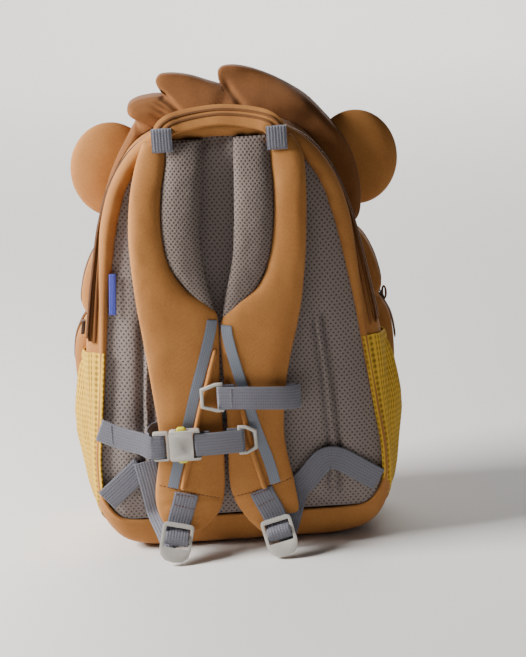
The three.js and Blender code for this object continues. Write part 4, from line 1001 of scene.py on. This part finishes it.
strapTrees = {}
strapEdges = {}
for side, sign in sides.items():
    piece, at = padPiece(f"strapPad_{side}", strapRows[side], strap["pad"], cross=(45, sign * 0.28))
    dress(piece, finishes["canvas"], [f"strap_{side}"])
    strapTrees[side] = treeOf(piece)
    strapEdges[side] = [at(k / 300)[:3] for k in range(301)]
    start, end = crossLines[side]
    stitchAlong([layOn(strapTrees[side], lerp(start[0], end[0], k / 20), lerp(start[1], end[1], k / 20))
                 for k in range(21)], pitch=2.6)
    lining, _ = padPiece(f"strapLining_{side}", liningRows[side], strap["liningPad"], strap["shrink"])
    dress(lining, finishes["lining"], [f"strap_lining_{side}"])
print("straps made")


# Reflective stripes and the corded rails that the chest strap slides on

stripes = {"width": 7, "thick": 0.5, "proud": 0.45, "margin": 3.5, "steps": 70}
stripeRows = {
    "left": [(-0.112, 0.572), (-0.183, 0.485), (-0.258, 0.405), (-0.336, 0.312), (-0.412, 0.230), (-0.462, 0.168)],
    "right": [(-0.048, 0.556), (-0.010, 0.481), (0.044, 0.398), (0.110, 0.301), (0.174, 0.228), (0.214, 0.162)],
}
rails = {"radius": 1.7, "steps": 60}
railRows = {
    "left": [(-0.117, 0.495), (-0.176, 0.427), (-0.242, 0.357), (-0.305, 0.276), (-0.366, 0.205), (-0.393, 0.168)],
    "right": [(0.016, 0.372), (0.048, 0.315), (0.075, 0.254), (0.116, 0.193), (0.142, 0.158)],
}


def laidPath(tree, edges, rows, proud, steps):  # a smoothed path on a strap, kept off its edges
    raw = []
    for k in range(steps + 1):
        x, height = rowsAt(rows, k / steps)
        _, low, high = min(edges, key=lambda row: abs(row[0] - height))
        x = min(max(sideX(x), sideX(low) + stripes["margin"]), sideX(high) - stripes["margin"])
        raw.append(layOn(tree, x, levelZ(height), proud=proud))
    spots = []
    for k in range(steps + 1):
        near = raw[max(k - 4, 0):k + 5]
        spots.append((sum((s for s, _ in near), Vector()) / len(near),
                      sum((n for _, n in near), Vector()).normalized()))
    ways = []
    for k in range(steps + 1):
        along = (spots[min(k + 1, steps)][0] - spots[max(k - 1, 0)][0]).normalized()
        ways.append(along.cross(spots[k][1]).normalized())
    return [spot for spot, _ in spots], ways


for side in sides:
    path, ways = laidPath(strapTrees[side], strapEdges[side], stripeRows[side], stripes["proud"], stripes["steps"])
    band(f"reflectiveStripe_{side}", path, stripes["width"], stripes["thick"], ways, "stripe",
         [f"reflective_stripe_{side}"], stripes["steps"], False)
    last = rails["steps"]
    rows = [rowsAt(railRows[side], k / last) for k in range(last + 1)]
    spots = [layOn(strapTrees[side], sideX(x), levelZ(height), proud=rails["radius"] * 0.9) for x, height in rows]

    def railPlace(u, v):
        k = min(round(v * last), last)
        spot, normal = spots[k]
        along = (spots[min(k + 1, last)][0] - spots[max(k - 1, 0)][0]).normalized()
        wide = along.cross(normal).normalized()
        end = math.sin(min(k / 3, (last - k) / 3, 1) * math.pi / 2)
        radius = rails["radius"] * (0.35 + 0.65 * end)
        angle = 2 * math.pi * u
        return spot + (wide * math.cos(angle) + normal * math.sin(angle)) * radius - normal * (1 - end) * 1.2
    piece = gridPiece(f"strapRail_{side}", 14, last, railPlace, lambda u, v: (u * 10.7, v * 95))
    dress(piece, finishes["canvas"], [f"strap_rail_{side}"])
print("stripes and rails made")


# Grab handle: a folded band between two webbing tabs; x, out, height, width share and lean

handle = {"width": 15, "thick": 3}
handleRows = [
    (-0.357, 10.2, 0.957, 0.82, 60), (-0.355, 10.1, 0.975, 0.84, 58), (-0.342, 9.4, 0.990, 0.88, 56),
    (-0.300, 7.8, 1.001, 0.94, 53), (-0.225, 5.3, 1.007, 1.00, 50), (-0.110, 3.5, 1.012, 1.00, 48),
    (0.010, 3.1, 1.014, 1.00, 47), (0.130, 3.5, 1.010, 1.00, 48), (0.240, 5.3, 1.003, 1.00, 50),
    (0.312, 7.8, 0.995, 0.94, 53), (0.352, 9.4, 0.983, 0.88, 56), (0.366, 10.1, 0.968, 0.84, 58),
    (0.369, 10.2, 0.951, 0.82, 60),
]
handleFoldShades = {"upperHandleFoldShade": 3.2, "lowerHandleFoldShade": -0.6}  # sewn folds, by their place across the band, raised and coloured dark brown: painted shade in the fold creases
tabs = {"width": 13, "thick": 1.2}
tabRows = [(10.0, 0.985), (12.3, 0.983), (12.7, 0.972), (13.0, 0.958), (13.2, 0.945), (13.1, 0.938), (12.0, 0.935)]
tabPlaces = {"left": (-0.357, 0.010), "right": (0.365, 0)}


def placeAt(x, out, height):  # a place by its shares of the width and height, out from the back seam
    return Vector((sideX(x), body["seam"] - out, levelZ(height)))


handlePath = [placeAt(*row[:3]) for row in handleRows]
handleWays = []
for i, row in enumerate(handleRows):
    heading = handlePath[min(i + 1, len(handlePath) - 1)] - handlePath[max(i - 1, 0)]
    heading.y = 0
    heading.normalize()
    angle = math.radians(row[4])
    handleWays.append(Vector((-heading.z, heading.x * math.cos(angle), heading.x * math.sin(angle))))
frames = band("grabHandle", handlePath, [row[3] * handle["width"] for row in handleRows], handle["thick"], handleWays,
              "canvas", ["grab_handle"], 90, around=28)
run = [(spot, wide, out if out.y < 0 else -out) for spot, wide, out, _ in frames[6:-6]]
# raised strips in dark brown along the folds: painted shade in the creases
for name, offset in handleFoldShades.items():
    band(name, [spot + wide * offset + out * 1.45 for spot, wide, out in run], 2.0, 1.2,
         [wide for _, wide, _ in run], "fold", smooth=False)
for side in sides:
    x, raised = tabPlaces[side]
    band(f"handleTab_{side}", [placeAt(x, out + 0.3, height + raised) for out, height in tabRows], tabs["width"],
         tabs["thick"], (1, 0, 0), "webbing", [f"handle_tab_{side}"], 40)
print("handle made")


# Webbing through the ladder locks, and on to the body's lower corners

locks = {"out": 20, "lean": 14, "tip": 20, "bar": 3, "slot": 5.2, "thick": 3}
lockPlaces = {"left": (-0.432, 0.092), "right": (0.190, 0.090)}
webbing = {"width": 15.5, "thick": 1.2, "gap": 0.3, "proud": 0.9}
webbingTop = {"left": (-0.372, 0.160), "right": (0.114, 0.156)}
cornerRows = {  # along the ribbon over its fold to the lock: x, z, out
    "left": [(-63, 66, 2.2), (-61.5, 58, 2.6), (-60, 50, 2.4), (-58.6, 41, 2.0), (-56.8, 31, 1.8)],
    "right": [(89, 42, -0.4), (80, 48, 0.2), (72, 53.5, 0.5), (65, 58, 0.9), (58.5, 60, 2.2), (53, 58.5, 2.6),
              (48, 53.5, 2.2), (42, 46.5, 1.6), (35, 39.5, 1.4)],
}
flatRows = [(-90.5, 40, -0.4), (-83, 46.5, 0.2), (-76.5, 52, 0.6), (-65, 62.2, 1.2)]  # the left one's flat length
lockEnds = {}
for side, sign in sides.items():
    x, height = lockPlaces[side]
    lockAt = placeAt(x, locks["out"], height)
    lean = math.radians(sign * locks["lean"])
    turn = Matrix.Rotation(-lean, 3, "Y") @ Matrix.Rotation(-math.radians(locks["tip"]), 3, "X")
    bar, slot = locks["bar"], locks["slot"]
    half = locks["thick"] / 2 + webbing["gap"] + webbing["thick"] / 2
    through = [  # down the lock and out of it
        (-3, -half - 0.2), (bar * 0.8, -half), (bar + slot / 2 - 0.6, -half * 0.3), (bar + slot - 0.6, half * 0.85),
        (bar * 1.5 + slot, half + 0.25), (bar * 2 + slot + 0.6, half * 0.85), (bar * 2 + slot * 1.5, 0.2),
        (bar * 2 + slot * 1.5 + 0.2, -half * 0.5), (bar * 2 + slot * 2, -half - webbing["thick"] / 2),
    ]
    route = [lockAt + turn @ Vector((0, -out, -down)) for down, out in through]
    level = Vector((math.cos(lean), 0, math.sin(lean)))
    topX, top = webbingTop[side]
    path = [layOn(strapTrees[side], sideX(topX), levelZ(top), proud=webbing["proud"])[0],
            layOn(strapTrees[side], sideX(topX) * 0.75 + x * 25, levelZ(top) * 0.72 + 26.3 * 0.28,
                  proud=webbing["proud"])[0]] + route[:-1]
    frames = band(f"strapWebbing_{side}", path, webbing["width"], webbing["thick"], level, "webbing",
                  [f"strap_webbing_{side}"], 90)
    for down in (1.5, 9.5):
        spot, wide, out, _ = min(frames, key=lambda row: abs(row[3] - down))
        face = out if out.y < 0 else -out
        stitchAlong([(spot + wide * reach + face * 0.6, face) for reach in (-6.6, 6.6)], pitch=2.4)
    lockEnds[side] = (route[-1], level)
near = body["seam"] - panel["proud"] - webbing["gap"] - webbing["thick"] / 2
for side, (end, level) in lockEnds.items():
    path = [Vector((x, near - out, z)) for x, z, out in cornerRows[side]]
    path += [path[-1].lerp(end, 0.5), end]
    ways = []
    for i in range(len(path)):
        along = path[min(i + 1, len(path) - 1)] - path[max(i - 1, 0)]
        ways.append(Vector((-along.z, 0, along.x)).normalized())
    ways[-1] = ways[-1].lerp(level, 0.8)
    band(f"lowerWebbing_{side}", path, webbing["width"], webbing["thick"], ways, "webbing", [f"lower_webbing_{side}"],
         120)
path = [Vector((x, near - out + 0.6, z)) for x, z, out in flatRows]
along = path[-1] - path[0]
band("cornerWebbing_left", path, webbing["width"], webbing["thick"], (-along.z, 0, along.x), "webbing", steps=50)
print("webbing made")


# Chest strap: two rings on the rails, the side-release buckle and three lengths of webbing

chest = {"out": 21, "width": 15, "ring": 2.4, "upper": levelZ(0.386), "lower": levelZ(0.283), "ringBar": 2.2,
         "leftRing": -0.085, "rightRing": -0.010, "hem": 9}
buckle = {"left": sideX(-0.455), "length": 20.5, "plug": 10.5, "thick": 7, "bar": 2.4, "barPlace": 2.0,
          "innerBar": 4.9, "outerBar": 1.4}
upperRows = [
    (0.060, 26.0, 0.384), (0.200, 25.6, 0.380), (0.320, 24.0, 0.376), (0.385, 20.6, 0.373), (0.408, 15.5, 0.371),
    (0.380, 9.6, 0.368), (0.300, 7.1, 0.363), (0.050, 6.5, 0.345), (-0.250, 6.5, 0.322), (-0.480, 6.8, 0.303),
    (-0.560, 8.8, 0.294), (-0.592, 13.5, 0.289), (-0.596, 18.5, 0.287), (-0.583, 22.0, 0.286),
]
tailRows = [(-0.640, 24.5, 0.293), (-0.720, 21.6, 0.299), (-0.810, 18.8, 0.309), (-0.905, 16.4, 0.323)]
ringMiddle = body["seam"] - chest["out"] - chest["ring"] / 2
buckleMiddle = body["seam"] - chest["out"] - buckle["thick"] / 2
loopRadius = chest["ring"] * math.sqrt(0.5) + webbing["gap"] + webbing["thick"] / 2


def turnRound(x, y, z, radius, start, end, steps=6):
    angles = [math.radians(lerp(start, end, i / steps)) for i in range(steps + 1)]
    return [Vector((x + radius * math.cos(angle), y + radius * math.sin(angle), z)) for angle in angles]


def chestBand(name, path, nodes, steps):
    return band(name, path, chest["width"], webbing["thick"], (0, 0, 1), "webbing", nodes, steps)


fromX = sideX(chest["leftRing"]) - chest["ringBar"] / 2
level = chest["upper"]
path = [Vector((fromX + 9, ringMiddle + loopRadius + 0.1, level))]
path += turnRound(fromX, ringMiddle, level, loopRadius, 90, 270)
path += [placeAt(*row) for row in upperRows]
frames = chestBand("chestWebbingUpper", path, ["chest_webbing_upper"], 220)
spot, wide, _, _ = min(frames[30:], key=lambda row: abs(row[0].x - (fromX + 6.5)) + (9 if row[0].y > -74 else 0))
stitchAlong([(spot + wide * reach + Vector((0, -0.65, 0)), Vector((0, -1, 0))) for reach in (-6.4, 6.4)],
            "grey", 2.2)

level = chest["lower"]
radius = buckle["bar"] / 2 + webbing["gap"] + webbing["thick"] / 2 + 0.3
barX, toX = buckle["left"] + buckle["length"] - buckle["barPlace"], sideX(chest["rightRing"]) + chest["ringBar"] / 2
path = [Vector((barX + 8, buckleMiddle + radius + 0.1, level))]
path += turnRound(barX, buckleMiddle, level, radius, 90, 270)
path += [Vector(((barX + toX) / 2, (buckleMiddle + ringMiddle) / 2 - radius - 0.6, level))]
path += turnRound(toX, ringMiddle, level, loopRadius + 0.1, -90, 90)
path += [Vector((toX - 8, ringMiddle + loopRadius + 0.2, level))]
chestBand("chestWebbingLower", path, ["chest_webbing_lower"], 150)

plugLeft = buckle["left"] - buckle["plug"]
inner, outer = plugLeft + buckle["innerBar"], plugLeft + buckle["outerBar"]
radius = buckle["bar"] * math.sqrt(0.5) + webbing["gap"] + webbing["thick"] / 2
path = [Vector((inner - 2.6, buckleMiddle + radius, level))]
path += turnRound(inner, buckleMiddle, level, radius, 90, -90, 5)
path += [Vector((outer, buckleMiddle - radius, level)),
         Vector((plugLeft - 2, buckleMiddle - radius + 0.3, level + 0.2))]
path += [placeAt(*row) for row in tailRows]
chestBand("chestWebbingTail", path, ["chest_webbing_tail"], 110)
end = path[-1]
spot = end - (end - path[-2]).normalized() * chest["hem"]
lift = Vector((0, 1.0, 0))
chestBand("chestTailHem", [spot + lift, end + lift], (), 12)
out = Vector((0.2, -1, 0)).normalized()
stitchAlong([(spot + Vector((0, -0.7, reach)), out) for reach in (-6.3, 6.3)], "grey", 2.2)
print("chest strap made")


# Label tab: plain woven ribbon, folded and sewn in at the panel's edge

label = {"width": 4.4, "thick": 0.9, "halfLength": 13.5, "out": 4.65}
ends = [placeAt(-0.742, label["out"], 0.672), placeAt(-0.762, label["out"], 0.578)]
along = (ends[1] - ends[0]).normalized() * label["halfLength"]
middle = (ends[0] + ends[1]) / 2
band("labelTab", [middle - along, middle, middle + along], label["width"], label["thick"], (1, 0, 0), "label",
     ["label_tab"], 30)


# A plain face: felt pieces sewn on the front

face = {"thick": 2, "muzzle": (96, 62), "nose": 34, "eye": 17, "proud": 0.3, "hem": 2.4}


def feltPiece(name, tree, x, z, width, height, finish, node, thread):
    def place(u, v):
        c, s = math.cos(2 * math.pi * u), math.sin(2 * math.pi * u)
        px = x + math.copysign(abs(c) ** 0.9, c) * width / 2 * (1 - v)
        pz = z + math.copysign(abs(s) ** 0.9, s) * height / 2 * (1 - v)
        spot, normal = layOn(tree, px, pz, side=1, fallback=60)
        return spot + normal * (face["proud"] + face["thick"] * (0.25 + 0.75 * ease(0, 0.12, v)))
    piece = gridPiece(name, 72, 18, place, lambda u, v: (u * 100, v * 40))
    thicken(piece, 1.0)
    dress(piece, finishes[finish], [node])
    line = []
    for k in range(97):
        angle = 2 * math.pi * k / 96
        spot, normal = layOn(tree, x + math.cos(angle) * (width / 2 - face["hem"]),
                             z + math.sin(angle) * (height / 2 - face["hem"]), side=1, fallback=60)
        line.append((spot + normal * (face["proud"] + face["thick"]), normal))
    stitchAlong(line, thread)
    return piece


muzzleZ = levelZ(0.50)
muzzle = feltPiece("muzzleFelt", pocketTree, 0, muzzleZ, *face["muzzle"], "muzzle", "muzzle", "tan")
feltPiece("noseFelt", treeOf(muzzle), 0, muzzleZ + face["muzzle"][1] * 0.25, face["nose"], face["nose"] * 0.62, "dark",
          "nose", "brown")
headTree = treeOf(headPiece)
for side, sign in sides.items():
    feltPiece(f"eyeFelt_{side}", headTree, head["shift"] + sign * face["muzzle"][0] * 0.36, levelZ(0.795), face["eye"],
              face["eye"] * 1.2, "dark", f"eye_{side}", "brown")
print("face made")


# The cord loop on the front zip

pull = {"cord": 0.8, "inset": 2.2}
low, high = (Vector(corner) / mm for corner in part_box("pocket_zip_pull"))
pullMiddle = (low + high) / 2 - Vector((pull["inset"], 0, 0))
pullReach = (high - low) / 2 - Vector((pull["cord"],) * 3)


def pullPlace(u, v):
    angle, around = 2 * math.pi * u, 2 * math.pi * v
    reach = pull["cord"] * math.cos(around)
    return pullMiddle + Vector(((pullReach.x + reach) * math.cos(angle), pull["cord"] * math.sin(around),
                                (pullReach.z + reach) * math.sin(angle)))


piece = gridPiece("frontZipPull", 48, 12, pullPlace, lambda u, v: (v * 5.6, u * 26))
dress(piece, finishes["tape"], ["pocket_zip_pull"])
print("zip pull made")


# Stitches are dressed, and the cutters go

for thread in ("brown", "tan", "grey"):
    name = f"{thread}Stitches"
    dress(newPiece(name, threads[thread]), finishes[name], angle=80)
for cutter in (cutBody, cutHead, cutPocket):
    bpy.data.objects.remove(cutter)
print("stitches made")


# Studio: a pale sweep with a light of its own, a soft key from the left and a weak fill

studio = {"wide": 6.0, "front": -2.5, "back": 2.2, "radius": 1.2, "high": 3.0, "air": "#e4e6e8", "airStrength": 0.1}
lights = {  # place, size, aim, watts, colour
    "key": ((-1.15, -0.2, 0.8), 0.5, (0, 0, 0.14), 56, (1.0, 0.985, 0.96)),
    "fill": ((1.9, -1.7, 1.0), 1.8, (0, 0, 0.14), 1.2, (0.95, 0.97, 1.0)),
    "floor": ((0.1, 2.6, 1.6), 2.4, (0.1, 2.6, 0), 96, (1.0, 1.0, 1.0)),
}


def sweepPlace(u, v):
    x = (u - 0.5) * studio["wide"]
    flat = studio["back"] - studio["front"]
    arc = math.pi / 2 * studio["radius"]
    spot = v * (flat + arc + studio["high"])
    if spot < flat:
        y, z = studio["front"] + spot, 0
    elif spot < flat + arc:
        angle = (spot - flat) / studio["radius"]
        y, z = studio["back"] + math.sin(angle) * studio["radius"], studio["radius"] * (1 - math.cos(angle))
    else:
        y, z = studio["back"] + studio["radius"], studio["radius"] + spot - flat - arc
    return Vector((x, y, z)) / mm


paper, tree = startMaterial("matPaperSweep", Roughness=0.9, IOR=1.45)
place = addNode(tree, "ShaderNodeTexCoord")
grain = addNode(tree, "ShaderNodeTexNoise", {"Scale": 2.0}, {"Vector": place.outputs["Object"]}).outputs["Fac"]
finishMaterial(paper, grain, "#e0dedb", "#e5e3e0", (0, 1), grain, 0.02, 0.1)
sweep = gridPiece("paperSweep", 4, 120, sweepPlace)
sweep.data.materials.append(paper)
crisp(sweep, 80)
for name, (spot, size, aim, power, colour) in lights.items():
    light = bpy.data.lights.new(name, "AREA")
    light.size = size
    light.energy = power
    light.color = colour
    lamp = bpy.data.objects.new(name, light)
    lamp.location = spot
    lamp.rotation_euler = (Vector(aim) - Vector(spot)).to_track_quat("-Z", "Y").to_euler()
    bpy.context.scene.collection.objects.link(lamp)
world = bpy.data.worlds.new("studioAir")
bpy.context.scene.world = world
world.use_nodes = True
world.node_tree.nodes["Background"].inputs["Color"].default_value = linear(studio["air"])
world.node_tree.nodes["Background"].inputs["Strength"].default_value = studio["airStrength"]
print("studio made")
